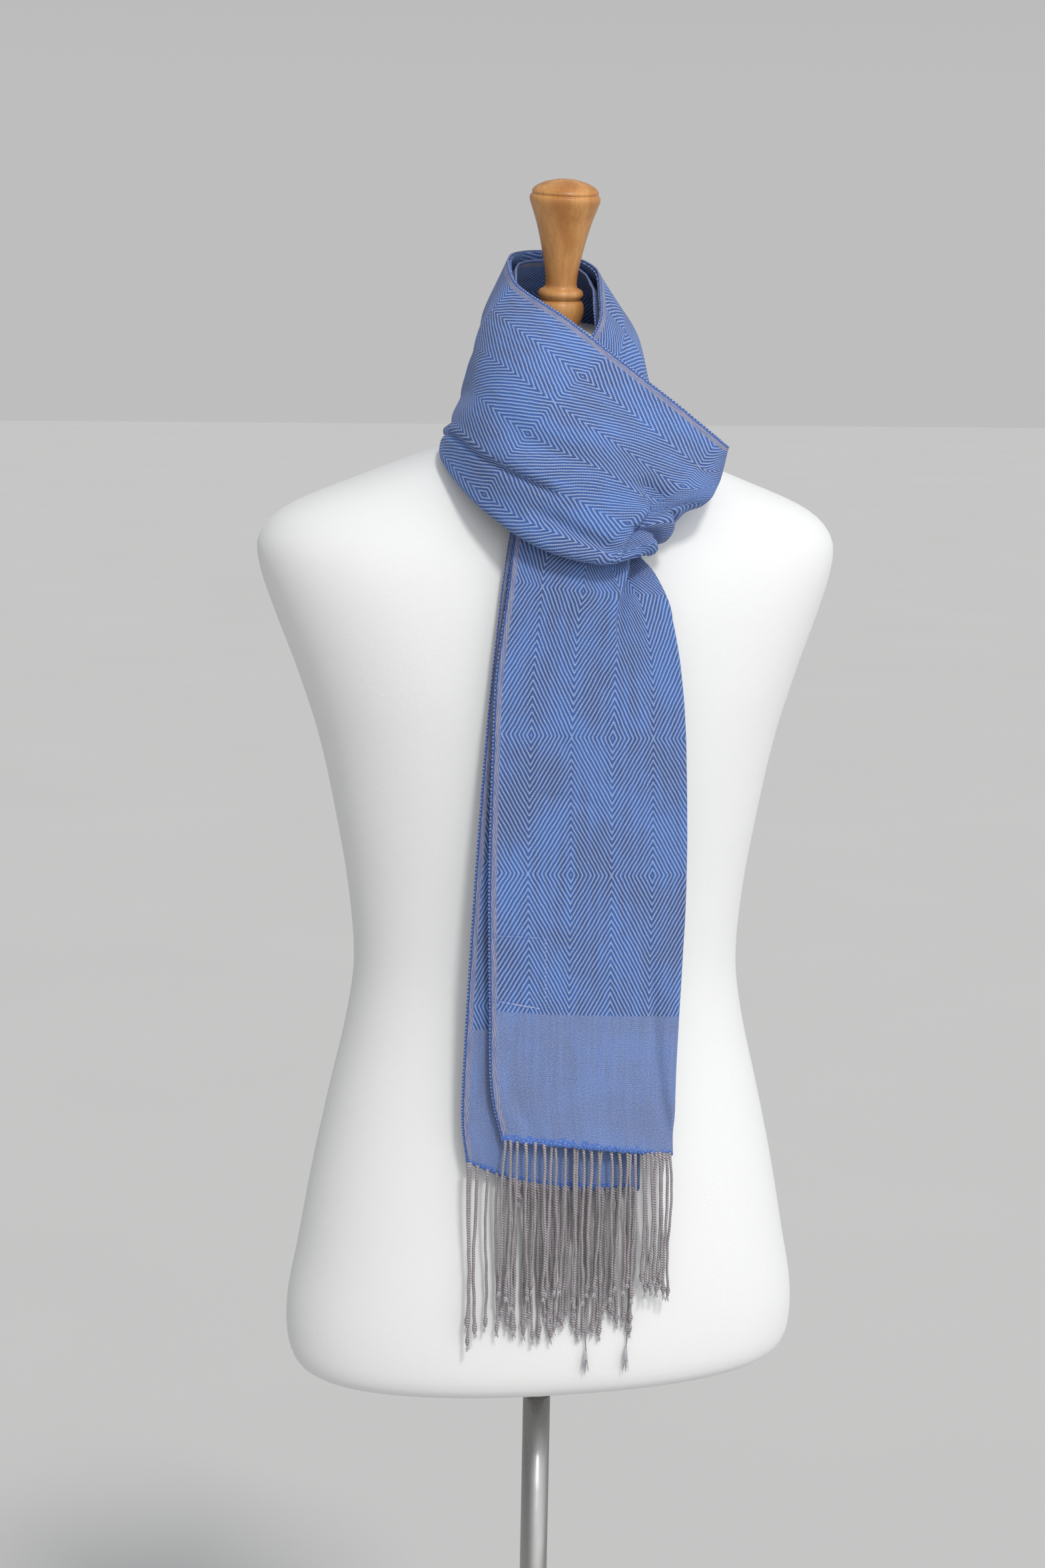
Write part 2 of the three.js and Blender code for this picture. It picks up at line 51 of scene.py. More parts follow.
# The strand that shows: running length; points on the selvedge, a third and two thirds of the
# way down the front ply and on the fold, x y z of each; radius of the roll.
OUTER_STRAND = [
    [320, -38, -56, 1560, -46, -61, 1530, -52, -68, 1508, -56, -76, 1492, 0.9],
    [260, 6, -60, 1560, -2, -63, 1530, -8, -72, 1500, -12, -83, 1475, 0.9],
    [215, 52, -52, 1545, 42, -61, 1516, 32, -72, 1491, 22, -85, 1471, 0.9],
    [180, 88, -47, 1516, 76, -57, 1501, 62, -74, 1482, 41, -91, 1463, 0.9],
    [155, 109, -56, 1524, 97, -75, 1499, 70, -97, 1478, 44, -112, 1453, 0.9],
    [128, 117, -66, 1527, 100, -92, 1500, 63, -117, 1482, 37, -131, 1450, 1.6],
    [100, 110, -73, 1532, 71, -110, 1497, 34, -128, 1480, 6, -138, 1452, 5],
    [53, 66, -86, 1564, 21, -118, 1530, -14, -130, 1502, -39, -131, 1464, 5],
    [0, 22, -84, 1596, -23, -110, 1564, -55, -114, 1528, -77, -98, 1489, 5],
    [-50, -11, -67, 1622, -51, -84, 1594, -80, -76, 1554, -96, -50, 1517, 5],
    [-100, -36, -28, 1643, -65, -36, 1610, -77, -28, 1565, -90, -12, 1534, 5],
    [-150, -38, 2, 1660, -57.5, 5, 1613, -67, 10, 1570, -84, 20, 1536.5, 5],
    [-200, -28, 27, 1668, -47, 44, 1620, -58, 56, 1570, -72, 66, 1533, 5],
    [-255, 0, 40, 1670, 0, 63, 1621, 0, 79, 1566, 0, 95, 1511, 5],
    [-310, 22, 24, 1664, 48, 44, 1616, 63, 58, 1563, 82, 74, 1525, 5],
    [-360, 29, 0, 1656, 56.5, 2, 1614, 65, 4, 1570, 94, 12, 1533.2, 5],
    [-405, 25, -28, 1641, 55, -36, 1602, 66, -40, 1562, 93, -46, 1531, 5],
    [-450, 17, -56, 1616, 45, -68, 1580, 61, -74, 1538, 70, -80, 1502, 4],
    [-500, -14, -76, 1576, 17, -88, 1545, 33, -95, 1508, 41, -99, 1474, 3],
    [-550, -39, -92, 1516, -14, -101, 1496, 10, -107, 1476, 37, -110, 1456, 2.4],
    [-590, -49.5, -103, 1466, -24, -114, 1456, 14, -118, 1446, 48, -117, 1438, 2.4],
    [-630, -56, -114, 1428, -18, -124, 1420, 22, -126, 1416, 59, -122, 1412, 2.4],
    [-690, -65, -120, 1364, -18, -127, 1362, 28, -128, 1360, 68.6, -124, 1358, 2.4],
    [-740, -67, -122, 1312, -20, -127, 1311, 28, -128, 1310, 72.5, -125, 1310, 2.4],
    [-840, -68, -122, 1212, -20, -126, 1211, 28, -127, 1210, 76, -124, 1210, 2.4],
    [-940, -66, -122, 1112, -20, -126, 1110, 27, -126, 1109, 73, -124, 1108, 2.4],
    [-1000, -64, -123, 1052, -19, -127, 1049, 26, -127, 1046, 71, -125, 1044, 2.4],
    [-1040, -55, -124, 1013, -14, -128, 1009, 29, -128, 1003, 72, -125, 997, 2.4],
]

# The tail behind, in the same columns.
BACK_TAIL = [
    [-560, -46, -85, 1500, -24, -92, 1490, 0, -97, 1476, 20, -100, 1464, 2.2],
    [-610, -57.5, -98, 1452, -34, -106, 1446, -6, -109, 1440, 20, -108, 1434, 2.2],
    [-670, -67, -109, 1390, -36, -115, 1388, -6, -116, 1386, 20, -112.5, 1384, 2.2],
    [-740, -73.7, -112, 1320, -34, -117, 1319, 3, -117.5, 1318, 38, -114, 1318, 2.2],
    [-840, -80, -112, 1220, -37, -116, 1219, 6, -117, 1218, 49, -114, 1218, 2.2],
    [-960, -86, -112, 1096, -40, -116, 1096, 4, -117, 1095, 49, -114, 1095, 2.2],
    [-1030, -88, -113, 1030, -42, -117, 1026, 3, -117, 1022, 48, -115, 1018, 2.2],
    [-1080, -84, -114, 996, -42, -118, 979, 3, -118, 972, 48, -116, 969, 2.2],
]

# Torso sections: height, half width, front, back and forward tilt in degrees.
TORSO_SECTIONS = [
    [800, 174, -92, 74, 0], [803, 188, -103, 85, 0], [812, 198, -111, 94, 0],
    [830, 203, -115, 99, 0], [860, 202.5, -117, 101, 0], [900, 195, -117, 101, 0],
    [960, 184, -112, 99, 0], [1020, 171, -105, 96, 0], [1080, 157, -98, 93, 0],
    [1125, 151, -95, 92, 0], [1180, 155, -96, 96, 0], [1240, 165, -100, 104, 0],
    [1300, 178, -104, 113, 0], [1350, 194, -105, 119, 0], [1400, 213, -101, 122, 0],
    [1430, 223, -95, 121, 0], [1450, 225, -88, 118, 0], [1464, 218, -81, 113, 0],
    [1475, 205, -75, 107, 0], [1485, 185, -70, 100, 0], [1496, 157, -64, 91, 0],
    [1507, 129, -59, 82, 0], [1518, 101, -55, 72, 0], [1531, 73, -51, 61, 0],
    [1548, 58, -49, 52, 1], [1575, 50, -48, 44, 4], [1598, 47, -48, 41, 7.4],
    [1608, 45, -47, 39, 7.4], [1612, 40, -43, 34, 7.4],
]

# Turned neck block: height along its own axis and radius.
NECK_BLOCK_PROFILE = [
    [0, 13.5], [3, 15.2], [9, 17.6], [15, 18.2], [19.5, 17], [21.5, 15], [23, 16], [25.5, 17.2],
    [28.5, 16], [30.5, 12.8], [34, 11.9], [44, 12.8], [60, 16], [78, 20.6], [90, 24.8],
    [95, 26.4], [98, 26.2], [99.6, 24.6], [101.4, 25], [104.5, 22.4], [108, 15.5], [110, 7.5],
]

# ---- dimensions ----

CLOTH_THICKNESS = 1.3
PLY_GAP = 1.9

# The back ply takes up this share of the front ply's creases.
BACK_PRESS = 0.55

# The roll: its least radius, the share of the ply from which the plies part, and its cells.
LEAST_ROLL = 1.2
SWELL_START = 0.45
ROLL_CELLS = 8

# Wrinkles between the creases: size along and across, and weight.
WRINKLES = ((37, 29, 1), (15, 13, 0.45))

# Scallops of the hem: one for each bundle of ends, over the last cells of the tail.
HEM_PITCH = 9
HEM_CELLS = 5

TORSO_SQUARENESS = 2.25
NECK_TOP = 1612
NECK_CENTRE_Y = -3.5
NECK_LEAN = math.radians(7.4)

# Weave, in metres: where the twill turns across and along the cloth, and stripes between turns.
COLUMN_START = 0.028
COLUMN_PITCH = 0.0305
ROW_PITCH = 0.1055
STRIPES_PER_COLUMN = 10
STRIPES_PER_ROW = 19
PICK_SPACING = ROW_PITCH / STRIPES_PER_ROW / 4
END_SPACING = COLUMN_PITCH / STRIPES_PER_COLUMN / 4

# Where the twill turns, by run: four shares of the front ply, and how far share 0 lies from the
# cloth's edge.
WRAP_COLUMNS = [
    [96, 0.172, 0.31, 0.49, 0.735, 0],
    [60, 0.17, 0.328, 0.495, 0.728, 0], [0, 0.179, 0.365, 0.568, 0.766, 0],
    [-60, 0.2135, 0.417, 0.604, 0.795, 0], [-100, 0.208, 0.42, 0.61, 0.8, 0],
    [-180, 0.2, 0.4, 0.6, 0.8, 0], [-335, 0.19, 0.39, 0.59, 0.79, 0],
    [-512, 0.18, 0.38, 0.59, 0.79, 0],
]
TAIL_COLUMNS = [
    [-500, 0.31, 0.53, 0.69, 0.807, 4], [-593, 0.29, 0.53, 0.685, 0.807, 4],
    [-600, 0.25, 0.505, 0.683, 0.807, 4], [-610, 0.21, 0.475, 0.68, 0.803, 4],
    [-621, 0.187, 0.446, 0.672, 0.802, 4], [-638, 0.172, 0.402, 0.645, 0.817, 4],
    [-660, 0.168, 0.385, 0.618, 0.823, 4], [-685, 0.163, 0.374, 0.594, 0.823, 4],
    [-730, 0.171, 0.38, 0.592, 0.823, 4], [-834, 0.172, 0.394, 0.607, 0.826, 4],
    [-940, 0.19, 0.402, 0.625, 0.842, 4],
]
BACK_COLUMNS = [[-540, 0.19, 0.4, 0.61, 0.82, 0]]

# Place along the cloth by run: run, place at one share, and how much it grows across the ply.
LENGTHS_SHARE = 0.45
WRAP_LENGTHS = [[160, 175.6, 0], [96, 105.5, 0], [0, 1, 0], [-550, -549, 0]]
TAIL_LENGTHS = [
    [-500, -410, -9], [-621, -527.5, -9], [-731, -633, 3], [-834, -738.5, 3.5],
    [-939.5, -844, 5], [-1050, -954.5, 4],
]
BACK_LENGTHS = [[-500, -404.3, 0], [-1100, -1004.3, 0]]

# Places along the cloth, in metres, where a tail's plain border and its hem begin.
FRONT_BORDER = -0.844
FRONT_HEM = -0.9447
BACK_BORDER = -0.862
BACK_HEM = -0.9843

# ---- camera ----


def make_camera():
    """A camera level with the collar's rim, a little to the viewer's left, looking down."""
    azimuth, pitch, roll = (math.radians(angle) for angle in (-12.5, -10, -1.0446))
    distance, aside, height = 2.2, 0.02036, 1.65
    ahead = Vector((-math.sin(azimuth), math.cos(azimuth), 0))
    right = Vector((math.cos(azimuth), math.sin(azimuth), 0))
    place = -distance * ahead - aside * right + Vector((0, 0, height))
    forward = ahead * math.cos(pitch) + Vector((0, 0, 1)) * math.sin(pitch)
    right = Matrix.Rotation(roll, 3, forward) @ right
    up = right.cross(forward)
    data = bpy.data.cameras.new("camera")
    data.sensor_fit = "VERTICAL"
    data.sensor_height = 36
    data.sensor_width = 24
    data.lens = 66.03
    data.clip_end = 60
    camera = bpy.data.objects.new("camera", data)
    turned = Matrix((right, up, -forward)).transposed().to_4x4()
    camera.matrix_world = Matrix.Translation(place) @ turned
    bpy.context.collection.objects.link(camera)
    bpy.context.scene.camera = camera


make_camera()

# ---- curves and noise ----

LATTICE = 64


def read_rows(rows, places):
    """Reads a table of rows, sorted by their first number, at many places, smoothly."""
    rows = np.asarray(rows, float)
    places = np.atleast_1d(np.asarray(places, float))
    first = rows[:, 0]
    sign = 1 if first[-1] > first[0] else -1
    index = np.clip(np.searchsorted(sign * first, sign * places) - 1, 0, len(rows) - 2)
    before = np.maximum(np.arange(len(rows)) - 1, 0)
    after = np.minimum(np.arange(len(rows)) + 1, len(rows) - 1)
    slopes = (rows[after] - rows[before]) / (first[after] - first[before])[:, None]
    span = (first[index + 1] - first[index])[:, None]
    t = np.clip((places - first[index])[:, None] / span, 0, 1)
    start, end = rows[index], rows[index + 1]
    rise = 3 * t**2 - 2 * t**3
    lead = slopes[index] * span * (t - 2 * t**2 + t**3)
    trail = slopes[index + 1] * span * (t**3 - t**2)
    return start + (end - start) * rise + lead + trail


def by_run(table, runs):
    """Columns of a table with falling runs, on straight lines between its rows."""
    table = np.array(table, float)
    return [np.interp(-runs, -table[:, 0], column) for column in table.T[1:]]


def smooth_step(low, high, value):
    t = np.clip((value - low) / (high - low), 0, 1)
    return t * t * (3 - 2 * t)


def soft_noise(x, y, seed):
    """Smooth noise in the plane, from -1 to 1, the same on each run."""
    lattice = np.random.default_rng(seed).uniform(-1, 1, (LATTICE, LATTICE))
    column, row = np.floor(x).astype(int), np.floor(y).astype(int)
    fx, fy = x - column, y - row
    fx, fy = fx * fx * (3 - 2 * fx), fy * fy * (3 - 2 * fy)

    def corner(dx, dy):
        return lattice[(column + dx) % LATTICE, (row + dy) % LATTICE]

    low = corner(0, 0) * (1 - fx) + corner(1, 0) * fx
    high = corner(0, 1) * (1 - fx) + corner(1, 1) * fx
    return low * (1 - fy) + high * fy


def stops(*parts):
    """Places from several ranges, each with a first place, a last one and a largest step."""
    places = []
    for first, last, step in parts:
        count = math.ceil(abs(last - first) / step)
        places.append(np.linspace(first, last, count, endpoint=False))
    return np.append(np.concatenate(places), parts[-1][1])


# ---- meshes ----


def add_mesh(name, points, faces, uvs=None):
    """A smooth mesh object from points in metres. uvs holds one pair for each point."""
    mesh = bpy.data.meshes.new(name)
    mesh.from_pydata([tuple(p) for p in points], [], [tuple(f) for f in faces])
    if uvs is not None:
        corners = np.zeros(len(mesh.loops), int)
        mesh.loops.foreach_get("vertex_index", corners)
        layer = mesh.uv_layers.new(name="UVMap")
        layer.data.foreach_set("uv", np.asarray(uvs, float)[corners].ravel())
    mesh.polygons.foreach_set("use_smooth", [True] * len(mesh.polygons))
    mesh.update()
    piece = bpy.data.objects.new(name, mesh)
    bpy.context.collection.objects.link(piece)
    return piece


def grid_faces(rows, columns, start=0, flip=False):
    """Quads of a grid of points stored row by row."""
    row, column = np.meshgrid(np.arange(rows - 1), np.arange(columns - 1), indexing="ij")
    corner = row * columns + column
    quads = np.stack([corner, corner + 1, corner + columns + 1, corner + columns], -1)
    quads = quads.reshape(-1, 4)
    return (quads[:, ::-1] if flip else quads) + start


def lengths_along(points):
    """Length along each row of a grid of points, from its first one."""
    steps = np.linalg.norm(np.diff(points, axis=1), axis=2).cumsum(1)
    return np.insert(steps, 0, 0, 1)


def shell(name, grid, uvs):
    """A sheet of cloth: a thin closed solid about a grid of middle points, in millimetres."""
    rows, columns = grid.shape[:2]
    normal = np.cross(np.gradient(grid, axis=1), np.gradient(grid, axis=0))
    normal /= np.linalg.norm(normal, axis=2, keepdims=True)
    offset = normal * CLOTH_THICKNESS / 2
    count = rows * columns
    border = np.concatenate(
        [
            np.arange(columns),
            np.arange(1, rows) * columns + columns - 1,
            (rows - 1) * columns + np.arange(columns - 2, -1, -1),
            np.arange(rows - 2, 0, -1) * columns,
        ]
    )
    ahead = np.roll(border, -1)
    faces = [
        grid_faces(rows, columns),
        grid_faces(rows, columns, count, flip=True),
        np.stack([ahead, border, border + count, ahead + count], -1),
    ]
    points = np.concatenate([(grid + offset).reshape(-1, 3), (grid - offset).reshape(-1, 3)]) * MM
    flat = uvs.reshape(-1, 2)
    return add_mesh(name, points, np.concatenate(faces), np.concatenate([flat, flat]))


# ---- cloth ----


def front_ply(table, runs, shares):
    """Points of the front ply, (runs, shares, 3), before any crease."""
    places = np.arange(4) / 3
    points = np.empty((len(runs), len(shares), 3))
    for index, row in enumerate(read_rows(table, runs)):
        thirds = np.column_stack([places, row[1:13].reshape(4, 3)])
        points[index] = read_rows(thirds, shares)[:, 1:]
    return points


def press(creases, runs, shares, width):
    """How far the creases press the cloth in."""
    run, share = np.meshgrid(runs, shares, indexing="ij")
    across = share * width[:, None]
    total = np.zeros(run.shape)
    for path, depths, low_side, high_side in creases:
        best = np.full(run.shape, np.inf)
        depth = np.zeros(run.shape)
        side = np.zeros(run.shape)
        middle = np.interp(path[0][0], runs[::-1], width[::-1])
        places = np.array([(a, b * middle) for a, b in path], float)
        for k in range(len(places) - 1):
            start, step = places[k], places[k + 1] - places[k]
            dx, dy = run - start[0], across - start[1]
            t = np.clip((dx * step[0] + dy * step[1]) / (step @ step), 0, 1)
            away = np.hypot(dx - t * step[0], dy - t * step[1])
            nearer = away < best
            best = np.where(nearer, away, best)
            depth = np.where(nearer, depths[k] + (depths[k + 1] - depths[k]) * t, depth)
            side = np.where(nearer, dx * step[1] - dy * step[0], side)
        reach = np.where(side < 0, low_side, high_side)
        total += depth * np.exp(-((best / reach) ** 2))
    return total


def directions(table, runs, shares, ply):
    """Unit directions of a ply: towards the fold, and into the cloth's back."""
    step = 1.5
    along = front_ply(table, runs - step, shares) - front_ply(table, runs + step, shares)
    down = np.gradient(ply, axis=1)
    inward = np.cross(down, along)
    inward /= np.linalg.norm(inward, axis=2, keepdims=True)
    return down / np.linalg.norm(down, axis=2, keepdims=True), inward


def cloth_places(runs, shares, columns, lengths, front):
    """Cloth coordinates of the front ply, in millimetres: even between the columns."""
    arc = lengths_along(front)
    turns = (COLUMN_START + COLUMN_PITCH * np.arange(4)) / MM
    across = np.empty((len(runs), len(shares)))
    for index, (*turn_shares, edge) in enumerate(zip(*by_run(columns, runs))):
        knots = np.interp([shares[0], 0, *turn_shares, 1], shares, arc[index])
        first = edge - knots[1] + knots[0]
        last = turns[-1] + knots[-1] - knots[-2]
        across[index] = np.interp(arc[index], knots, [first, edge, *turns, last])
    woven, tilt = by_run(lengths, runs)
    return across, woven[:, None] + tilt[:, None] * (shares[None, :] - LENGTHS_SHARE)


def strand(table, runs, shares, columns, lengths, creases, back_shares, rough, seed):
    """Middle points and cloth coordinates of one stretch of a strand: front ply, roll and
    back ply. The first cloth coordinate is the distance from the front selvedge."""
    inside = np.clip(shares, 0, None)
    ply = front_ply(table, runs, inside)
    roll = np.maximum(read_rows(table, runs)[:, 13], LEAST_ROLL)
    width = lengths_along(ply)[:, -1]
    down, inward = directions(table, runs, inside, ply)
    first = int(np.argmax(inside > 0))
    down[:, :first], inward[:, :first] = down[:, first : first + 1], inward[:, first : first + 1]
    ply = ply + down * ((shares - inside)[None, :] * width[:, None])[..., None]

    depth = press(creases, runs, shares, width)
    run_grid, share_grid = np.meshgrid(runs, shares, indexing="ij")
    across = share_grid * width[:, None]
    for step, (long, wide, weight) in enumerate(WRINKLES):
        depth += weight * rough * soft_noise(run_grid / long, across / wide, seed + step)
    front = ply + inward * depth[..., None]

    index = np.interp(back_shares, shares, np.arange(len(shares)))
    low = np.floor(index).astype(int)
    high = np.minimum(low + 1, len(shares) - 1)
    part = (index - low)[None, :, None]

    def at_back(values):
        return values[:, low] * (1 - part) + values[:, high] * part

    swell = smooth_step(SWELL_START, 1, back_shares)[None, :]
    offset = PLY_GAP + (2 * roll[:, None] - PLY_GAP) * swell
    offset = offset + BACK_PRESS * at_back(depth[..., None])[..., 0]
    behind = at_back(ply) + at_back(inward) * offset[..., None]

    edge, turned_edge = front[:, -1], behind[:, 0]
    middle, half = (edge + turned_edge) / 2, (edge - turned_edge) / 2
    out = down[:, -1] * np.linalg.norm(half, axis=1, keepdims=True)
    angles = np.linspace(0, math.pi, ROLL_CELLS + 1)[1:-1]
    rounds = np.stack([middle + half * math.cos(a) + out * math.sin(a) for a in angles], 1)
    grid = np.concatenate([front, rounds, behind], 1)

    places, woven = cloth_places(runs, shares, columns, lengths, front)
    beyond = lengths_along(grid[:, len(shares) - 1 :])[:, 1:]
    places = np.concatenate([places, places[:, -1:] + beyond], 1)
    woven = np.concatenate([woven, np.repeat(woven[:, -1:], beyond.shape[1], 1)], 1)
    return grid, np.stack([places, woven], -1) * MM


# Creases: places, (run, share), with a depth at each (negative stands out), and how far each
# crease reaches on its low and high side.
STRAND_CREASES = [
    # Groove between the rolled lower edge and the band.
    ([(-150, 0.9), (-125, 0.925), (-110, 0.94), (-90, 0.95), (-73, 0.95), (-45, 0.952),
      (-31, 0.955), (-17, 0.95), (-5, 0.935), (12, 0.915), (27, 0.9), (41, 0.885)],
     (3, 5.5, 6.5, 7, 6.5, 6, 5.5, 5.2, 5, 4.8, 4.5, 3.5), 4, 3.4),
    # The rolled lower edge itself.
    ([(-110, 1.0), (-70, 1.0), (-45, 0.995), (-20, 0.99), (10, 0.985)],
     (-3, -4, -4, -3, 0), 5, 7),
    # The band drawn in behind the roll, on the left.
    ([(-70, 0.85), (-92, 0.86), (-118, 0.84), (-150, 0.82)], (0, 5.5, 6.5, 3), 6, 13),
    # Long valley across the lower half.
    ([(41, 0.885), (55, 0.875), (75, 0.88), (95, 0.885), (112, 0.89)],
     (2.5, 4.5, 5, 4.5, 0), 5, 7),
    # Broad hollow of the middle and the ridge beside it.
    ([(60, 0.5), (44, 0.52), (25, 0.57), (5, 0.61), (-18, 0.6), (-40, 0.57)],
     (0, 2, 3, 3, 2, 0), 11, 11),
    ([(60, 0.66), (30, 0.71), (5, 0.735), (-25, 0.745)], (0, -2.2, -2.2, 0), 10, 10),
    # Dimple beside the turn of the loop.
    ([(74, 0.395), (82, 0.405), (90, 0.418), (98, 0.465), (110, 0.54), (124, 0.63)],
     (0, 5, 8.5, 7, 4, 0), 8, 8),
    # Lobe above the dimple.
    ([(104, 0.28), (118, 0.36), (134, 0.44)], (-3.5, -5, -5), 11, 11),
    # Edge of the band where it lies over the upper nub.
    ([(94, 0.5), (102, 0.583), (105.5, 0.667), (107, 0.79), (109.5, 0.885)],
     (0, 4.5, 6, 6, 4), 1.5, 8),
    ([(88, 0.55), (96, 0.64), (98, 0.76)], (0, -2, -1.5), 6, 6),
    # Two nubs where the loop turns back.
    ([(122, 0.68), (134, 0.69), (152, 0.7)], (-2.2, -4, -5.2), 9, 9),
    ([(122, 0.885), (150, 0.885)], (-2.6, -4.8), 6.5, 6.5),
    # Creases above and below the lower nub.
    ([(156, 0.8), (128, 0.8), (112, 0.79)], (6, 4.6, 0.8), 3.5, 4.5),
    ([(152, 0.965), (124, 0.955), (108, 0.96), (96, 0.97)], (8, 8, 4, 0), 4, 4),
    # Sag below the rim.
    ([(-110, 0.3), (-60, 0.34), (-10, 0.26)], (0, 1.4, 0), 15, 15),
    ([(-110, 0.62), (-70, 0.7), (-38, 0.74)], (1.5, 2.5, 0), 9, 13),
    # Round the back and the right side.
    ([(-138, 0.92), (-158, 0.95), (-180, 0.96), (-202, 0.95), (-235, 0.93)],
     (3, 8, 10.5, 8, 0), 20, 20),
    ([(-150, 0.35), (-200, 0.5), (-250, 0.55)], (0, 4.6, 1.5), 11, 15),
    ([(-215, 0.75), (-270, 0.7), (-320, 0.82)], (1, 5.5, 1), 9, 13),
    ([(-255, 0.2), (-300, 0.32), (-345, 0.34)], (0, 3.8, 0), 10, 13),
    ([(-290, 0.5), (-330, 0.55), (-370, 0.5)], (0, -3, 0), 12, 12),
    ([(-340, 0.6), (-390, 0.7), (-440, 0.66)], (0, 4.6, 1.5), 8, 12),
    ([(-390, 0.35), (-430, 0.45), (-478, 0.5)], (0, 3.4, 2.5), 8, 12),
    # The pleat under the band: the left part lies over the right part.
    ([(-560, 0.89), (-588, 0.885), (-600, 0.865), (-611, 0.845), (-624, 0.8), (-640, 0.785),
      (-655, 0.8), (-680, 0.84)],
     (10, 10, 9.5, 8, 5.5, 3.5, 2, 0), 1.6, 9),
    ([(-560, 0.845), (-588, 0.84), (-600, 0.82), (-611, 0.8), (-624, 0.755), (-645, 0.74),
      (-680, 0.78)],
     (-3.2, -3.2, -3, -2.8, -2.4, -1.2, 0), 6, 4),
    ([(-560, 0.93), (-600, 0.9), (-640, 0.86), (-690, 0.84)], (-2.4, -2, -0.6, 0), 6, 6),
    # Faint creases across and down the front tail.
    ([(-726, 0.28), (-738, 0.35), (-752, 0.42)], (0, 1.3, 0), 2.6, 5),
    ([(-770, 0.14), (-776, 0.28), (-782, 0.5), (-787, 0.6)], (0, 1, 1.1, 0), 2.6, 4),
    ([(-668, 0.45), (-690, 0.52), (-706, 0.6)], (0, 0.7, 0), 3, 4),
    ([(-640, 1.0), (-760, 0.95), (-880, 0.93)], (1.2, 0.9, 0), 6, 9),
    # The soft fold beside the right edge of the border.
    ([(-860, 0.81), (-940, 0.85), (-1000, 0.895), (-1040, 0.92)], (0, 2.2, 2.6, 2.6), 6, 2.6),
    ([(-900, 0.93), (-970, 0.94), (-1040, 0.955)], (0, -1.3, -1.3), 4, 4),
    ([(-940, 0.08), (-1000, 0.1), (-1036, 0.16)], (0, 0.9, 1.4), 4, 6),
    ([(-985, 0.36), (-1036, 0.38)], (0, 1.1), 4, 4),
    ([(-990, 0.62), (-1036, 0.6)], (0, 0.9), 4, 4),
]
BACK_CREASES = [
    ([(-700, 0.12), (-860, 0.14), (-1000, 0.1)], (0, 1, 0.5), 5, 7),
    ([(-1010, 0.1), (-1078, 0.16)], (0, 1.4), 4, 5),
    ([(-1040, 0.4), (-1078, 0.42)], (0, 1), 4, 4),
]


def hem_waves(grid, uvs, depth):
    """Scallops of the hem between one cord and the next, at the last rows of a grid."""
    last = len(grid) - 1
    near = smooth_step(last - HEM_CELLS, last, np.arange(last + 1))[:, None]
    wave = np.abs(np.sin(math.pi * uvs[..., 0] / (HEM_PITCH * MM)))
    grid[..., 2] += near * depth * (wave - 0.5)


def lift_turn(grid, runs, front_count):
    """Raises the fold where the loop turns back, and the cloth beside it."""
    height, start, end = 5, 104, 124
    columns = [0, 0.8 * front_count, front_count, front_count + 16]
    share = np.interp(np.arange(grid.shape[1]), columns, [0, 0, 1, 0])
    grid[..., 2] += height * smooth_step(start, end, runs)[:, None] * share**1.5


wrap_runs = stops((320, 158, 4.5), (158, 84, 1.25), (84, -100, 2.3), (-100, -512, 3.4))
wrap_shares = stops((0, 0.36, 0.0165), (0.36, 1, 0.0098))
wrap_grid, wrap_uvs = strand(
    OUTER_STRAND, wrap_runs, wrap_shares, WRAP_COLUMNS, WRAP_LENGTHS, STRAND_CREASES,
    np.linspace(1, 0.004, 34), 0.5, 1,
)
lift_turn(wrap_grid, wrap_runs, len(wrap_shares))
scarf_wrap = shell("scarf_wrap", wrap_grid, wrap_uvs)

front_runs = stops((-500, -680, 2.2), (-680, -1040, 3.2))
front_shares = stops((-0.029, 0.6, 0.02), (0.6, 0.8, 0.0105), (0.8, 1, 0.0165))
front_grid, front_uvs = strand(
    OUTER_STRAND, front_runs, front_shares, TAIL_COLUMNS, TAIL_LENGTHS, STRAND_CREASES,
    np.linspace(1, 0.05, 30), 0.35, 5,
)
hem_waves(front_grid, front_uvs, 1.4)
scarf_tail_front = shell("scarf_tail_front_cloth", front_grid, front_uvs)

back_shares = stops((0, 1, 0.022))
back_grid, back_uvs = strand(
    BACK_TAIL, stops((-560, -1080, 3.4)), back_shares, BACK_COLUMNS, BACK_LENGTHS, BACK_CREASES,
    np.linspace(1, 0.06, 28), 0.4, 9,
)
hem_waves(back_grid, back_uvs, 1.6)
scarf_tail_back = shell("scarf_tail_back_cloth", back_grid, back_uvs)


def inner_collar():
    """The second strand where it shows inside the rim."""
    deepest_share = 0.46
    rim_gap, low_gap = 6.5, 3.6
    weave_start = 0.04
    runs = np.linspace(-62, -446, 150)
    parts = np.linspace(0, 1, 28)
    shares = parts * deepest_share
    ply = front_ply(OUTER_STRAND, runs, shares)
    _, inward = directions(OUTER_STRAND, runs, shares, ply)
    run, part = np.meshgrid(runs, parts, indexing="ij")
    gap = rim_gap + (low_gap - rim_gap) * part
    gap = gap + 0.7 * soft_noise(run / 22, part * 2.5, 21) * (1 - part)
    left_dip = 17 * smooth_step(-135, -84, run)
    right_dip = 6 * smooth_step(-400, -440, run)
    drop = 3.5 + left_dip + right_dip + 2 * soft_noise(run / 26, np.full_like(run, 3), 23)
    grid = ply + inward * gap[..., None]
    grid[..., 2] -= np.maximum(drop, 1.5) * (1 - part)
    uvs = np.stack([lengths_along(grid) * MM, run * MM + weave_start], -1)
    return shell("scarf_collar_inner_cloth", grid, uvs)


scarf_inner = inner_collar()

# ---- fringe ----

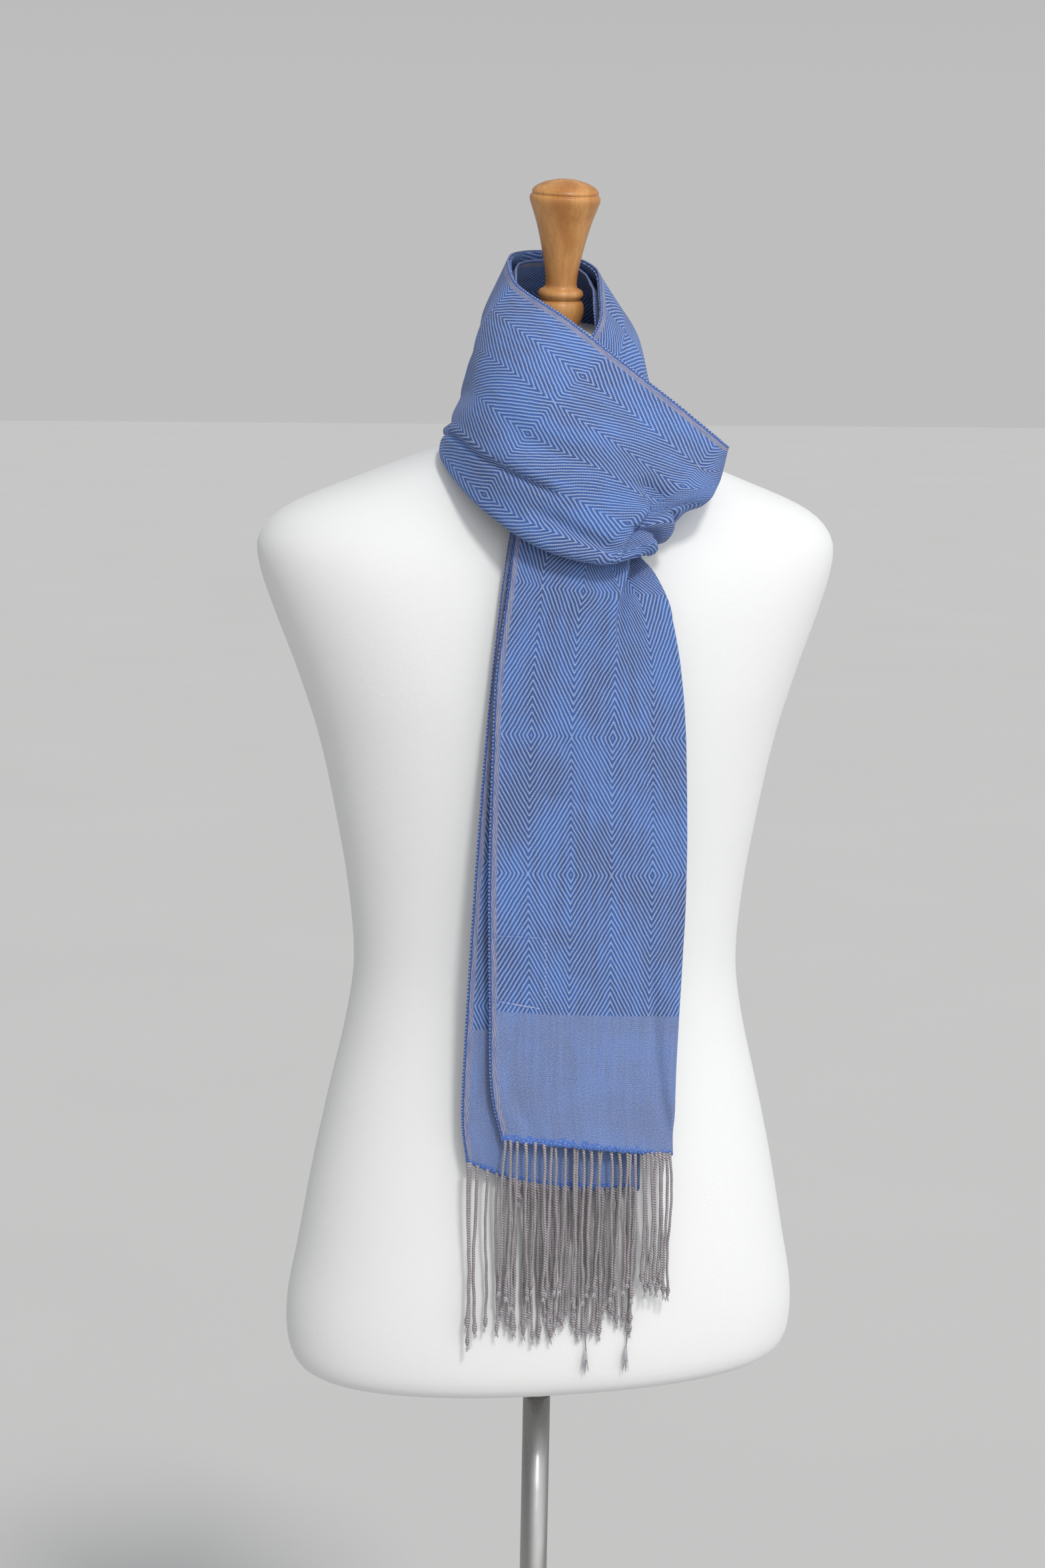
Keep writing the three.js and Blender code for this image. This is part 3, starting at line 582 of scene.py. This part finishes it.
CORD_RADIUS = 1.15
THICKNESSES = (0.82, 1.12)

# Where cords leave each hem: x only, as the hem gives the height.
FRONT_ROOTS = (
    -57, -53, -48, -41.4, -34.2, -27.5, -21.4, -18.6, -11.1, -3.9, -1.4, 2.8, 9, 14.9, 17.2, 24.5,
    30.9, 37, 39.5, 43.2, 49.9, 53, 56.2, 59.8, 62.4, 65.5, 68.1, 70.4,
)
BACK_ROOTS = (
    -83.4, -81.6, -76.3, -68.6, -61.4, -55.3, -50.1, -48, -46, -43.4, -40.9, -38.6, -36.5, -34.4,
    -32, -29.6, -27.5, -23, -20.9, -18.8, -16.4, -14.1, -10, -8, -5.9, -1.7, 0.4, 2.4, 6.8, 9.2,
    11.4, 16, 18.1, 20.1, 24.2, 28.9, 31.1, 33, 37.5, 41.6, 43.8, 45.8,
)

# On the back tail: heights at which stumps end, and cords that end in loose hairs.
BACK_STUMPS = {9: 965}
BACK_FRAYED = (30, 39)
FRAYED_DROP = 10

# Hairs at a cord's end: how many, how long and how far they spread.
TUFT = (11, 6, 1.7)
FRAYED_TUFT = (24, 19, 2.6)
HAIR_CELLS = 4

# The hairs' start along the material's v, which tells them from the cords.
HAIR_START = -1000


def tube(paths, radii, starts, sides=8):
    """Points, faces and cloth coordinates of round tubes, one for each path. The second cloth
    coordinate is the length from the path's start."""
    points, faces, uvs = [], [], []
    count = 0
    for path, radius, start in zip(paths, radii, starts):
        ahead = np.gradient(path, axis=0)
        ahead /= np.linalg.norm(ahead, axis=1, keepdims=True)
        side = np.cross(ahead, (0, 1, 0))
        side /= np.linalg.norm(side, axis=1, keepdims=True)
        third = np.cross(ahead, side)
        length = start + lengths_along(path[None])[0]
        for k in range(sides + 1):
            angle = 2 * math.pi * k / sides
            offset = side * math.cos(angle) + third * math.sin(angle)
            points.append(path + offset * radius[:, None])
            uvs.append(np.stack([np.full(len(path), k / sides), length * MM], -1))
        faces.append(grid_faces(sides + 1, len(path), count, flip=True))
        count += len(path) * (sides + 1)
    return np.concatenate(points), np.concatenate(faces), np.concatenate(uvs)


def hanging_cord(root, plane, bottom, sway, random):
    """A cord from its root at the hem: over the hem's edge, then straight down with a sway."""
    x, top = root
    over_hem = [top + 2.5, top + 1.2, top, top - 2, top - 5]
    levels = np.concatenate([over_hem, np.linspace(top - 9, bottom, 40)])
    fall = np.clip((top - levels) / (top - bottom), 0, 1)
    phase, waves = random.uniform(0, 6.28), random.uniform(1.2, 2.6)
    lean = random.uniform(-1.3, 1.3) * np.clip(fall * 7, 0, 1)
    wander = 2.6 * np.sin(phase + waves * 3.14 * fall) * fall * (1.25 - fall)
    shiver = 0.3 * np.sin(phase * 3 + fall * 31)
    back = 1.3 * np.sin(np.clip(fall * 9, 0, 1) * math.pi / 2)
    depth = plane - back + 0.7 * np.sin(phase * 2 + fall * 3)
    depth[:3] = plane + np.array([1.4, 0.9, 0.2])
    return np.column_stack([x + (lean + sway * fall + wander) + shiver * fall, depth, levels])


def cord_radii(levels, frayed, thickness):
    """Radius along a cord: a small knot at the root and a bigger one near the end."""
    root_knot, end_knot = (0.35, 1.6), (0.95, 2.1)
    top, bottom = levels[2], levels[-1]
    radius = np.full(len(levels), CORD_RADIUS * thickness)
    radius *= 1 + root_knot[0] * np.exp(-(((levels - top) / root_knot[1]) ** 2))
    knot = bottom + (16 if frayed else 4.5)
    radius *= 1 + end_knot[0] * np.exp(-(((levels - knot) / end_knot[1]) ** 2))
    return np.where(levels < knot - 2, radius * (0.5 if frayed else 0.75), radius)


def tuft(end, random, count, length, spread):
    """Short loose hairs under a knot."""
    paths = []
    t = np.linspace(0, 1, HAIR_CELLS + 1)
    for _ in range(count):
        across, away = random.uniform(-1, 1, 2) * spread
        x = end[0] + across * t + random.uniform(-0.5, 0.5)
        y = end[1] + away * 0.5 * t
        z = end[2] + 1.5 - length * random.uniform(0.6, 1.1) * t
        paths.append(np.column_stack([x, y, z]))
    return paths


def fringe(name, roots, hem, plane, levels, seed, stumps, frayed_cords):
    """One hem's cords as a single piece, with their knots and tufts. hem is the lower edge of
    the front ply, plane the cords' mean Y, and levels the range of heights at which they end."""
    random = np.random.default_rng(seed)
    hair = np.linspace(0.42, 0.16, HAIR_CELLS + 1)
    paths, radii, starts = [], [], []
    order = np.argsort(hem[:, 0])
    for index, across in enumerate(roots):
        root = across, float(np.interp(across, hem[order, 0], hem[order, 2]))
        bottom = random.uniform(*levels)
        frayed = index in frayed_cords
        if frayed:
            bottom = levels[0] - FRAYED_DROP
        bottom = stumps.get(index, bottom)
        sway = random.uniform(-2.2, 2.2)
        path = hanging_cord(root, plane + random.uniform(-0.7, 0.7), bottom, sway, random)
        radius = cord_radii(path[:, 2], frayed, random.uniform(*THICKNESSES))
        hairs = tuft(path[-1], random, *(FRAYED_TUFT if frayed else TUFT))
        paths += [path, *hairs]
        radii += [radius] + [hair] * len(hairs)
        starts += [0] + [HAIR_START] * len(hairs)
    points, faces, uvs = tube(paths, radii, starts)
    return add_mesh(name, points * MM, faces, uvs)


front_hem = front_grid[-1, : len(front_shares)]
back_hem = back_grid[-1, : len(back_shares) - 1]
front_cords = fringe("fringe_front_cords", FRONT_ROOTS, front_hem, -126.6, (886, 900), 31, {}, ())
back_cords = fringe(
    "fringe_back_cords", BACK_ROOTS, back_hem, -119.2, (854, 876), 37, BACK_STUMPS, BACK_FRAYED
)

# ---- dress form ----

TORSO_CELL = 6
TORSO_SEGMENTS = 144

# Turned pieces of the stand: radius and height.
BASE_PROFILE = [
    (0, 0), (187, 0), (188.6, 0.4), (189.6, 1.4), (190, 2.6), (190, 4.2), (189.2, 5.4),
    (187.6, 6), (0, 6),
]
FOOT_PROFILE = [
    (11.3, 6.3), (28, 6.3), (28, 9.6), (27.2, 10.6), (24, 11.8), (17, 14.4), (15.9, 15.6),
    (15.2, 27.4), (14.6, 28.3), (11.3, 28.3),
]
POLE_PROFILE = [
    (11, 6.3), (11, 260), (11, 520), (11, 795.4), (9.4, 795.4), (9.4, 6.3), (11, 6.3),
]
SOCKET_PROFILE = [
    (11.3, 765.7), (14.4, 765.7), (15, 766.4), (15, 793.4), (16.5, 795.2), (20, 795.7),
    (44.2, 795.7), (45, 796.5), (45, 799), (44.4, 799.7), (0, 799.7),
]


def bulged(value):
    return np.sign(value) * np.abs(value) ** (2 / TORSO_SQUARENESS)


def make_torso():
    """The covered form, finer than the solid it stands for."""
    heights = []
    for low, high in zip(TORSO_SECTIONS, TORSO_SECTIONS[1:]):
        cells = max(2, int((high[0] - low[0]) / TORSO_CELL))
        heights += list(np.linspace(low[0], high[0], cells, endpoint=False))
    heights.append(TORSO_SECTIONS[-1][0])
    count = TORSO_SEGMENTS
    angles = np.linspace(0, 2 * math.pi, count + 1) - math.pi / 2
    rings, uvs = [], []
    for z, half, front, back, tilt in read_rows(TORSO_SECTIONS, heights):
        forward = (back - front) / 2 * bulged(np.sin(angles))
        x = half * bulged(np.cos(angles))
        y = (front + back) / 2 + forward
        rings.append(np.column_stack([x, y, z + forward * math.sin(math.radians(tilt))]))
        around = np.concatenate([[0], np.hypot(np.diff(x), np.diff(y)).cumsum()])
        uvs.append(np.column_stack([(around - around[-1] / 2) * MM, np.full(count + 1, z * MM)]))
    grid = np.array(rings)
    faces = grid_faces(len(grid), count + 1)
    total = len(grid) * (count + 1)
    middles = grid[[0, -1], :-1].mean(1)
    points = np.concatenate([grid.reshape(-1, 3), middles]) * MM
    uvs.append([[0, heights[0] * MM], [0, heights[-1] * MM]])
    base = total - count - 1
    low = [(total, k + 1, k) for k in range(count)]
    high = [(total + 1, base + k, base + k + 1) for k in range(count)]
    return add_mesh("torso_cover", points, [*faces, *low, *high], np.concatenate(uvs))


def turned(name, profile, segments=96, place=(0, 0, 0), lean=0.0):
    """A turned piece from radius and height pairs, in millimetres."""
    profile = np.array(profile, float)
    angles = np.linspace(0, 2 * math.pi, segments + 1)
    ring = np.stack([np.cos(angles), np.sin(angles)], -1)
    shape = (len(profile), segments + 1)
    z = np.broadcast_to(profile[:, None, 1:], (*shape, 1))
    grid = np.concatenate([profile[:, None, :1] * ring[None], z], -1)
    tilt = np.array(Matrix.Rotation(lean, 3, "X"))
    points = grid.reshape(-1, 3) @ tilt.T + np.array(place)
    u = np.broadcast_to(angles / (2 * math.pi), shape)
    v = np.broadcast_to(lengths_along(profile[None]).T * MM, shape)
    return add_mesh(name, points * MM, grid_faces(*shape), np.stack([u, v], -1).reshape(-1, 2))


def smoothed(profile, cells):
    """A profile of heights and radii as (radius, height), with more points between."""
    heights = [np.linspace(a[0], b[0], cells, endpoint=False) for a, b in zip(profile, profile[1:])]
    heights = np.append(np.concatenate(heights), profile[-1][0])
    return [(radius, height) for height, radius in read_rows(profile, heights)]


torso = make_torso()
block = turned(
    "neck_block_wood",
    [(0, 0)] + smoothed(NECK_BLOCK_PROFILE, 5) + [(4, 110.4), (0, 110.6)],
    place=(0, NECK_CENTRE_Y, NECK_TOP + 0.6),
    lean=NECK_LEAN,
)
base = turned("stand_base_plate", BASE_PROFILE, segments=160)
foot = turned("stand_foot_fitting", FOOT_PROFILE)
pole = turned("stand_pole_tube", POLE_PROFILE)
socket = turned("stand_socket_fitting", SOCKET_PROFILE)

# ---- materials ----

# Linear colours. The cloth's ground and its pale yarn each have a dull and a bright end.
GROUND = (0.042, 0.086, 0.235), (0.058, 0.142, 0.415)
PALE = (0.305, 0.36, 0.535), (0.28, 0.38, 0.63)
END_BLUE = (0.095, 0.165, 0.39)
# Painted shade: the dark line in the ground beside each pale stripe.
STRIPE_SHADE_BLUE = (0.018, 0.034, 0.115)
BORDER_GREY = (0.31, 0.32, 0.39)
BEADS = (0.05, 0.1, 0.31), (0.36, 0.43, 0.62)
EDGE_BLUE = (0.045, 0.095, 0.3)
EDGE_LINES = (0.085, 0.125, 0.3), (0.345, 0.33, 0.36)
STITCH_ACROSS = (0.4, 0.46, 0.64)
STITCH_DOWN = (0.44, 0.5, 0.68)
STITCH_SHADE = (0.03, 0.075, 0.29)
HEM = (0.055, 0.13, 0.42), (0.22, 0.31, 0.6)

CORD_PALE = (0.37, 0.34, 0.365), (0.28, 0.255, 0.265)
CORD_SHINE = (0.5, 0.47, 0.5)
# Painted shade for the grooves between the cord's plies, dull and bright.
CORD_GROOVE_SHADE = (0.155, 0.14, 0.145), (0.21, 0.19, 0.195)
HAIRS = (0.36, 0.35, 0.38), (0.62, 0.61, 0.64)

JERSEY = (0.715, 0.72, 0.71), (0.765, 0.77, 0.76)
# Painted shade in the gaps between the knit's loops.
JERSEY_GAP_SHADE = (0.7, 0.705, 0.7)
WOOD = (0.38, 0.155, 0.04), (0.56, 0.28, 0.095)
WOOD_RINGS = (0.42, 0.19, 0.06)
WOOD_PORES = (0.22, 0.095, 0.035)
STEEL = (0.29, 0.285, 0.28), (0.42, 0.415, 0.41)
FLOOR = (0.52, 0.515, 0.505), (0.55, 0.545, 0.535)

# How far each pick shifts the stripes on, and how far the stripes waver.
PICK_JOG = 0.4
WAVER = 0.56

# Twill of the border: its lines' pitch along the cloth and across it, in metres.
BORDER_ALONG = 0.00242
BORDER_ACROSS = 0.00158

# Selvedge, in metres from the edge: where the beads, the blue line and the beige lines end, and
# the pitch of the beige lines.
BEADS_END = (0.0007, 0.0012)
BLUE_END = (0.0019, 0.0022)
LINES_END = (0.0052, 0.0064)
LINE_PITCH = 0.0012

# Label behind the front tail: its rows' places along the cloth, and its side's place across.
# Each row: place along, end across, slope and strength of the stitches.
LABEL_TOP = -0.7865
LABEL_BOTTOM = -0.8357
LABEL_SIDE = 0.0405
LABEL_ROWS = ((LABEL_TOP, 0.035, 0, 0.4), (LABEL_BOTTOM, 0.037, -0.12, 0.85))

# A border and a hem at this place are out of reach.
NO_PLACE = -9.0


def put(socket, value):
    """Links a socket to another, or sets its constant."""
    if isinstance(value, bpy.types.NodeSocket):
        value.id_data.links.new(value, socket)
    else:
        socket.default_value = value


def add_node(kind, inputs, **settings):
    """Outputs of a new node, in the tree of the first socket among its inputs."""
    tree = next(value.id_data for value in inputs.values() if hasattr(value, "id_data"))
    node = tree.nodes.new("ShaderNode" + kind)
    for name, value in settings.items():
        setattr(node, name, value)
    for name, value in inputs.items():
        put(node.inputs[name], value)
    return node.outputs


def calc(operation, *values):
    return add_node("Math", dict(enumerate(values)), operation=operation)[0]


times = partial(calc, "MULTIPLY")
plus = partial(calc, "ADD")
minus = partial(calc, "SUBTRACT")
linear = partial(calc, "MULTIPLY_ADD")


def ramp(value, low, high, to_low=0, to_high=1):
    """A smooth step of a value, to another pair of values."""
    inputs = dict(enumerate((value, low, high, to_low, to_high)))
    return add_node("MapRange", inputs, interpolation_type="SMOOTHSTEP")[0]


def wave(value, period, phase=0):
    """Cosine of a length, from 0 to 1."""
    return linear(calc("COSINE", linear(value, 2 * math.pi / period, phase)), 0.5, 0.5)


def mix(factor, *colours):
    first, second = ((*c, 1) if isinstance(c, tuple) else c for c in colours)
    return add_node("Mix", {0: factor, 6: first, 7: second}, data_type="RGBA")[2]


def split(place):
    return tuple(add_node("SeparateXYZ", {0: place}))


def vector(x, y, z=0):
    return add_node("CombineXYZ", {0: x, 1: y, 2: z})[0]


def noise(place, scale, detail=2, roughness=0.5):
    inputs = {"Vector": place, "Scale": scale, "Detail": detail, "Roughness": roughness}
    return add_node("TexNoise", inputs)["Fac"]


def grain(places, scales, detail=2, roughness=0.5):
    """Noise drawn out along some axes: one place and one scale for each."""
    drawn = [times(place, scale) for place, scale in zip(places, scales)]
    return noise(vector(*drawn), 1, detail, roughness)


class Paint:
    """A material and its shader's inputs. Lengths in it are metres."""

    def __init__(self, name, settings):
        self.material = bpy.data.materials.new(name)
        self.material.use_nodes = True
        self.nodes = self.material.node_tree.nodes
        self.nodes.clear()
        shader = self.nodes.new("ShaderNodeBsdfPrincipled")
        self.inputs = shader.inputs
        for socket, value in settings.items():
            self.inputs[socket].default_value = value
        put(self.nodes.new("ShaderNodeOutputMaterial").inputs["Surface"], shader.outputs["BSDF"])

    def uv(self):
        node = self.nodes.new("ShaderNodeUVMap")
        node.uv_map = "UVMap"
        return split(node.outputs[0])[:2]

    def place(self):
        return self.nodes.new("ShaderNodeTexCoord").outputs["Object"]

    def finish(self, colour, height, distance, strength):
        """The material, with its colour and its bump."""
        bump = {"Height": height, "Distance": distance, "Strength": strength}
        put(self.inputs["Normal"], add_node("Bump", bump)[0])
        put(self.inputs["Base Color"], colour)
        return self.material


def twill(u, v, place):
    """Diamond twill: how pale it is, how dark the painted shade beside each stripe is, and its row.
    Stripes run on across the picks; each pick only jogs them a little."""
    pick = calc("DIVIDE", v, PICK_SPACING)
    jog = minus(calc("FLOOR", pick), minus(pick, 0.5))
    level = linear(jog, PICK_JOG, pick)
    row = calc("PINGPONG", times(level, PICK_SPACING / ROW_PITCH), 1)
    column = linear(u, 1 / COLUMN_PITCH, -COLUMN_START / COLUMN_PITCH)
    column = calc("PINGPONG", column, 1)
    waver = linear(noise(place, 90, 3), WAVER, -WAVER / 2)
    phase = linear(row, STRIPES_PER_ROW, waver)
    phase = linear(column, STRIPES_PER_COLUMN, phase)
    stripe = ramp(wave(phase, 1), 0.42, 0.92)
    # Where painted shade falls, as a dark line beside each stripe.
    beside = ramp(wave(phase, 1, 2.3), 0.7, 0.98, 0, 0.5)

    # Each float of pale yarn is a bead, and some are paler than others.
    bead = linear(wave(v, PICK_SPACING, math.pi), 0.36, 0.66)
    uneven = ramp(noise(place, 650, 2, 0.6), 0.3, 0.7, 0.8, 1.08)
    return times(times(stripe, bead), uneven), beside, row


def border_twill(u, v, place):
    """Plain fine twill of the border, with ends that show as faint lines down it."""
    lines = linear(v, 1 / BORDER_ALONG, calc("DIVIDE", u, -BORDER_ACROSS))
    light = ramp(wave(lines, 1), 0.2, 0.9, 0.22, 0.42)
    light = linear(wave(v, PICK_SPACING), 0.14, light)
    specks = ramp(noise(place, 900, 1), 0.35, 0.65, -0.12, 0.12)
    ends = ramp(grain((u, v), (420, 12), 2, 0.6), 0.3, 0.7, -0.03, 0.03)
    return plus(plus(light, specks), ends)


def selvedge(u, v, place, row):
    """A row of pale beads on the very edge, a blue line, then fine beige lines."""
    beads = ramp(wave(v, 2 * PICK_SPACING), 0.4, 0.92)
    beads = times(beads, ramp(noise(place, 700, 1), 0.3, 0.55, 0.45, 1))
    steep = linear(u, 1 / LINE_PITCH, times(row, 13))
    line = ramp(wave(steep, 1), 0.2, 0.62)
    worn = ramp(grain((u, v), (700, 60)), 0.35, 0.62)
    line = times(line, linear(worn, 0.5, 0.5))
    edge = mix(ramp(u, *BEADS_END), mix(beads, *BEADS), EDGE_BLUE)
    return mix(ramp(u, *BLUE_END), edge, mix(line, *EDGE_LINES))


def label_stitches(u, v, place, colour):
    """Stitches of the label that is sewn behind: two rows across and a faint one down."""
    for along, end, slope, strength in LABEL_ROWS:
        away = calc("ABSOLUTE", minus(v, linear(u, slope, along)))
        sewn = times(ramp(away, 0.0009, 0.0003), ramp(u, end + 0.001, end))
        sewn = times(sewn, ramp(u, 0.003, 0.005))
        dashes = ramp(noise(place, 480, 1), 0.42, 0.54, 0.05, strength)
        colour = mix(times(sewn, dashes), colour, STITCH_ACROSS)
        near = times(ramp(away, 0.0026, 0.001), ramp(u, end + 0.004, end))
        colour = mix(times(near, 0.22), colour, STITCH_SHADE)
    away = calc("ABSOLUTE", minus(u, LABEL_SIDE))
    below_top = ramp(v, LABEL_TOP, LABEL_TOP - 0.001)
    sewn = times(ramp(away, 0.0008, 0.0003), below_top)
    sewn = times(sewn, ramp(v, LABEL_BOTTOM - 0.002, LABEL_BOTTOM))
    dashes = ramp(wave(v, 0.0031), 0.4, 0.7, 0, 0.34)
    return mix(times(sewn, dashes), colour, STITCH_DOWN)


def paint_cloth(name, border, hem, label=False):
    """Diamond twill with its selvedges and, past border, the plain fine twill before the hem.
    border and hem are places along the cloth."""
    sheen = {"Sheen Weight": 0.15, "Sheen Roughness": 0.5, "Sheen Tint": (0.66, 0.74, 1, 1)}
    paint = Paint(name, {"Roughness": 0.88, "Specular IOR Level": 0.2, **sheen})
    u, v = paint.uv()
    place = vector(u, v)
    weave, beside, row = twill(u, v, place)
    in_border = ramp(v, border + 0.0006, border - 0.0006)
    weave = linear(minus(border_twill(u, v, place), weave), in_border, weave)
    end = wave(u, END_SPACING)

    # Yarns dyed a little unevenly along and across, less so in the border.
    streak = grain((u, v), (240, 14), 3, 0.6)
    cloud = noise(place, 18, 3, 0.6)
    tone = ramp(linear(streak, 0.4, times(cloud, 0.6)), 0.39, 0.61)
    tone = linear(minus(0.5, tone), times(in_border, 0.25), tone)
    ground = mix(times(end, 0.22), mix(tone, *GROUND), END_BLUE)
    # Painted shade beside each pale stripe, left out of the border.
    stripe_shade = times(beside, minus(1, in_border))
    ground = mix(stripe_shade, ground, STRIPE_SHADE_BLUE)
    pale = mix(times(in_border, 0.5), mix(tone, *PALE), BORDER_GREY)
    colour = mix(weave, ground, pale)
    edge = selvedge(u, v, place, row)
    colour = mix(ramp(u, *LINES_END), edge, colour)
    if label:
        colour = label_stitches(u, v, place, colour)

    # Deep blue edge of the hem, ragged, with pale bits of thread.
    ragged = linear(noise(place, 150), 0.009, hem)
    in_hem = ramp(minus(v, ragged), 0.0026, -0.0006)
    bits = ramp(noise(place, 900, 1), 0.5, 0.66)
    colour = mix(in_hem, colour, mix(bits, *HEM))

    height = linear(noise(place, 2600), 0.45, linear(end, 0.15, weave))
    return paint.finish(colour, height, 0.0003, 0.9)


def paint_cord():
    """Twisted two-ply cord in taupe and silver grey, with painted shade in the grooves between
    the plies. u goes once round, v is the length, far below zero on the loose hairs."""
    lay = 0.0039
    settings = {"Roughness": 0.8, "Sheen Weight": 0.2, "Sheen Roughness": 0.4}
    paint = Paint("twisted_cord", settings)
    u, v = paint.uv()
    strands = ramp(wave(linear(v, 1 / lay, u), 0.5), 0.05, 0.6)
    fine = noise(paint.place(), 1500)
    tone = noise(paint.place(), 120)
    pale = mix(ramp(tone, 0.35, 0.65), *CORD_PALE)
    pale = mix(ramp(fine, 0.35, 0.65, 0, 0.35), pale, CORD_SHINE)
    # Painted shade darkens the grooves between the plies.
    twisted = mix(strands, mix(fine, *CORD_GROOVE_SHADE), pale)
    colour = mix(ramp(v, -0.4, -0.6), twisted, mix(fine, *HAIRS))
    return paint.finish(colour, linear(fine, 0.3, strands), 0.0005, 0.9)


def paint_jersey():
    """White stretch jersey: fine wales and courses, with painted shade in the gaps between the
    loops.
    """
    wale, course = 0.0014, 0.0011
    settings = {"Roughness": 0.82, "Sheen Weight": 0.12, "Specular IOR Level": 0.25}
    paint = Paint("white_jersey", settings)
    u, v = paint.uv()
    knit = linear(wave(u, wale), 0.6, times(wave(v, course), 0.4))
    tone = mix(grain((u, v), (14, 5), 3), *JERSEY)
    # Painted shade in the gaps between the loops.
    colour = mix(ramp(knit, 0.1, 0.6), JERSEY_GAP_SHADE, tone)
    slub = noise(paint.place(), 300)
    return paint.finish(colour, linear(slub, 0.5, knit), 0.00008, 0.5)


def paint_wood():
    """Varnished light wood, grain along the turning axis."""
    ring = 0.0042
    settings = {"Roughness": 0.42, "Coat Weight": 0.1, "Coat Roughness": 0.14}
    paint = Paint("varnished_wood", {**settings, "Specular IOR Level": 0.3})
    places = split(paint.place())
    figure = grain(places, (60, 60, 6), 4, 0.6)
    pores = grain(places, (900, 900, 40))
    rings = wave(linear(figure, 0.012, places[0]), ring)
    warm = mix(ramp(figure, 0.32, 0.68), *WOOD)
    warm = mix(times(rings, 0.25), warm, WOOD_RINGS)
    dark = ramp(pores, 0.6, 0.72)
    colour = mix(times(dark, 0.35), warm, WOOD_PORES)
    return paint.finish(colour, linear(pores, 0.5, figure), 0.0001, 0.4)


def paint_metal(name, stretch):
    """Satin chromed steel with fine drawn lines, stretched round or along it."""
    paint = Paint(name, {"Metallic": 1})
    lines = grain(paint.uv(), stretch, 3, 0.6)
    marks = noise(paint.place(), 40, 3)
    dull = linear(marks, 0.6, times(lines, 0.4))
    put(paint.inputs["Roughness"], ramp(dull, 0.3, 0.7, 0.18, 0.36))
    return paint.finish(mix(lines, *STEEL), lines, 0.00004, 0.3)


def paint_floor():
    paint = Paint("pale_floor", {"Roughness": 0.9})
    put(paint.inputs["Base Color"], mix(noise(paint.place(), 1.2, 3), *FLOOR))
    return paint.material


wrap_cloth = paint_cloth("wool_twill", NO_PLACE, NO_PLACE)
front_cloth = paint_cloth("wool_twill_front_tail", FRONT_BORDER, FRONT_HEM, label=True)
back_cloth = paint_cloth("wool_twill_back_tail", BACK_BORDER, BACK_HEM)
cord = paint_cord()
drawn = paint_metal("satin_chrome_tube", (400, 8))
spun = paint_metal("satin_chrome_plate", (12, 900))
WRAP_NODES = [
    "scarf_loop_under", "scarf_band", "scarf_collar_left", "scarf_collar_back",
    "scarf_collar_right",
]

for piece, material, slot, nodes in [
    (scarf_wrap, wrap_cloth, "scarf_cloth", WRAP_NODES),
    (scarf_tail_front, front_cloth, "scarf_cloth", ["scarf_tail_front"]),
    (scarf_tail_back, back_cloth, "scarf_cloth", ["scarf_tail_back"]),
    (scarf_inner, wrap_cloth, "scarf_cloth", ["scarf_collar_inner"]),
    (front_cords, cord, "fringe_cord", ["fringe_front"]),
    (back_cords, cord, "fringe_cord", ["fringe_back"]),
    (torso, paint_jersey(), "torso_cover", ["torso"]),
    (block, paint_wood(), "neck_wood", ["neck_block"]),
    (base, spun, "stand_metal", ["stand_base"]),
    (foot, spun, "stand_metal", ["stand_foot"]),
    (pole, drawn, "stand_metal", ["stand_pole"]),
    (socket, spun, "stand_metal", ["stand_socket"]),
]:
    piece.data.materials.append(material)
    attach(piece, "root")
    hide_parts(*nodes)

# ---- stage and light ----

FLOOR_REACH = 30
FLOOR_LEVEL = -0.0005
SUN_TRAVEL = (-0.1, 0.68, -0.727)
SOFT_LIGHT = (0.4, -0.77, 0.5)

# Grey of the world, by height of the direction looked in: low and high.
WORLD_LOW = (0.06, (0.6, 0.6, 0.6, 1))
WORLD_HIGH = (0.4, (0.42, 0.43, 0.445, 1))


def make_floor():
    signs = ((-1, -1), (1, -1), (1, 1), (-1, 1))
    corners = [(x * FLOOR_REACH, y * FLOOR_REACH, 0) for x, y in signs]
    floor = add_mesh("floor", corners, [(0, 1, 2, 3)])
    floor.location.z = FLOOR_LEVEL
    floor.data.materials.append(paint_floor())


def make_sun():
    """A sun with soft shadows, from the front and above."""
    sun = bpy.data.lights.new("key", "SUN")
    sun.energy = 1.5
    sun.angle = math.radians(9)
    sun.color = (1, 0.98, 0.955)
    key = bpy.data.objects.new("key", sun)
    key.rotation_euler = Vector(SUN_TRAVEL).to_track_quat("-Z", "Y").to_euler()
    bpy.context.collection.objects.link(key)


def make_world():
    """Pale grey all round, with a broad soft light in front, above and to the right."""
    world = bpy.data.worlds.new("studio")
    world.use_nodes = True
    nodes = world.node_tree.nodes
    background = nodes["Background"].inputs
    direction = nodes.new("ShaderNodeTexCoord").outputs["Generated"]
    fade = nodes.new("ShaderNodeValToRGB")
    for element, (position, grey) in zip(fade.color_ramp.elements, (WORLD_LOW, WORLD_HIGH)):
        element.position = position
        element.color = grey
    put(fade.inputs[0], split(direction)[2])
    put(background["Color"], fade.outputs[0])
    toward = {0: direction, 1: SOFT_LIGHT}
    toward = add_node("VectorMath", toward, operation="DOT_PRODUCT")["Value"]
    squared = calc("POWER", calc("MAXIMUM", toward, 0), 2)
    put(background["Strength"], linear(squared, 2.7, 0.86))
    bpy.context.scene.world = world


make_floor()
make_sun()
make_world()
bpy.context.scene.view_settings.view_transform = "Standard"
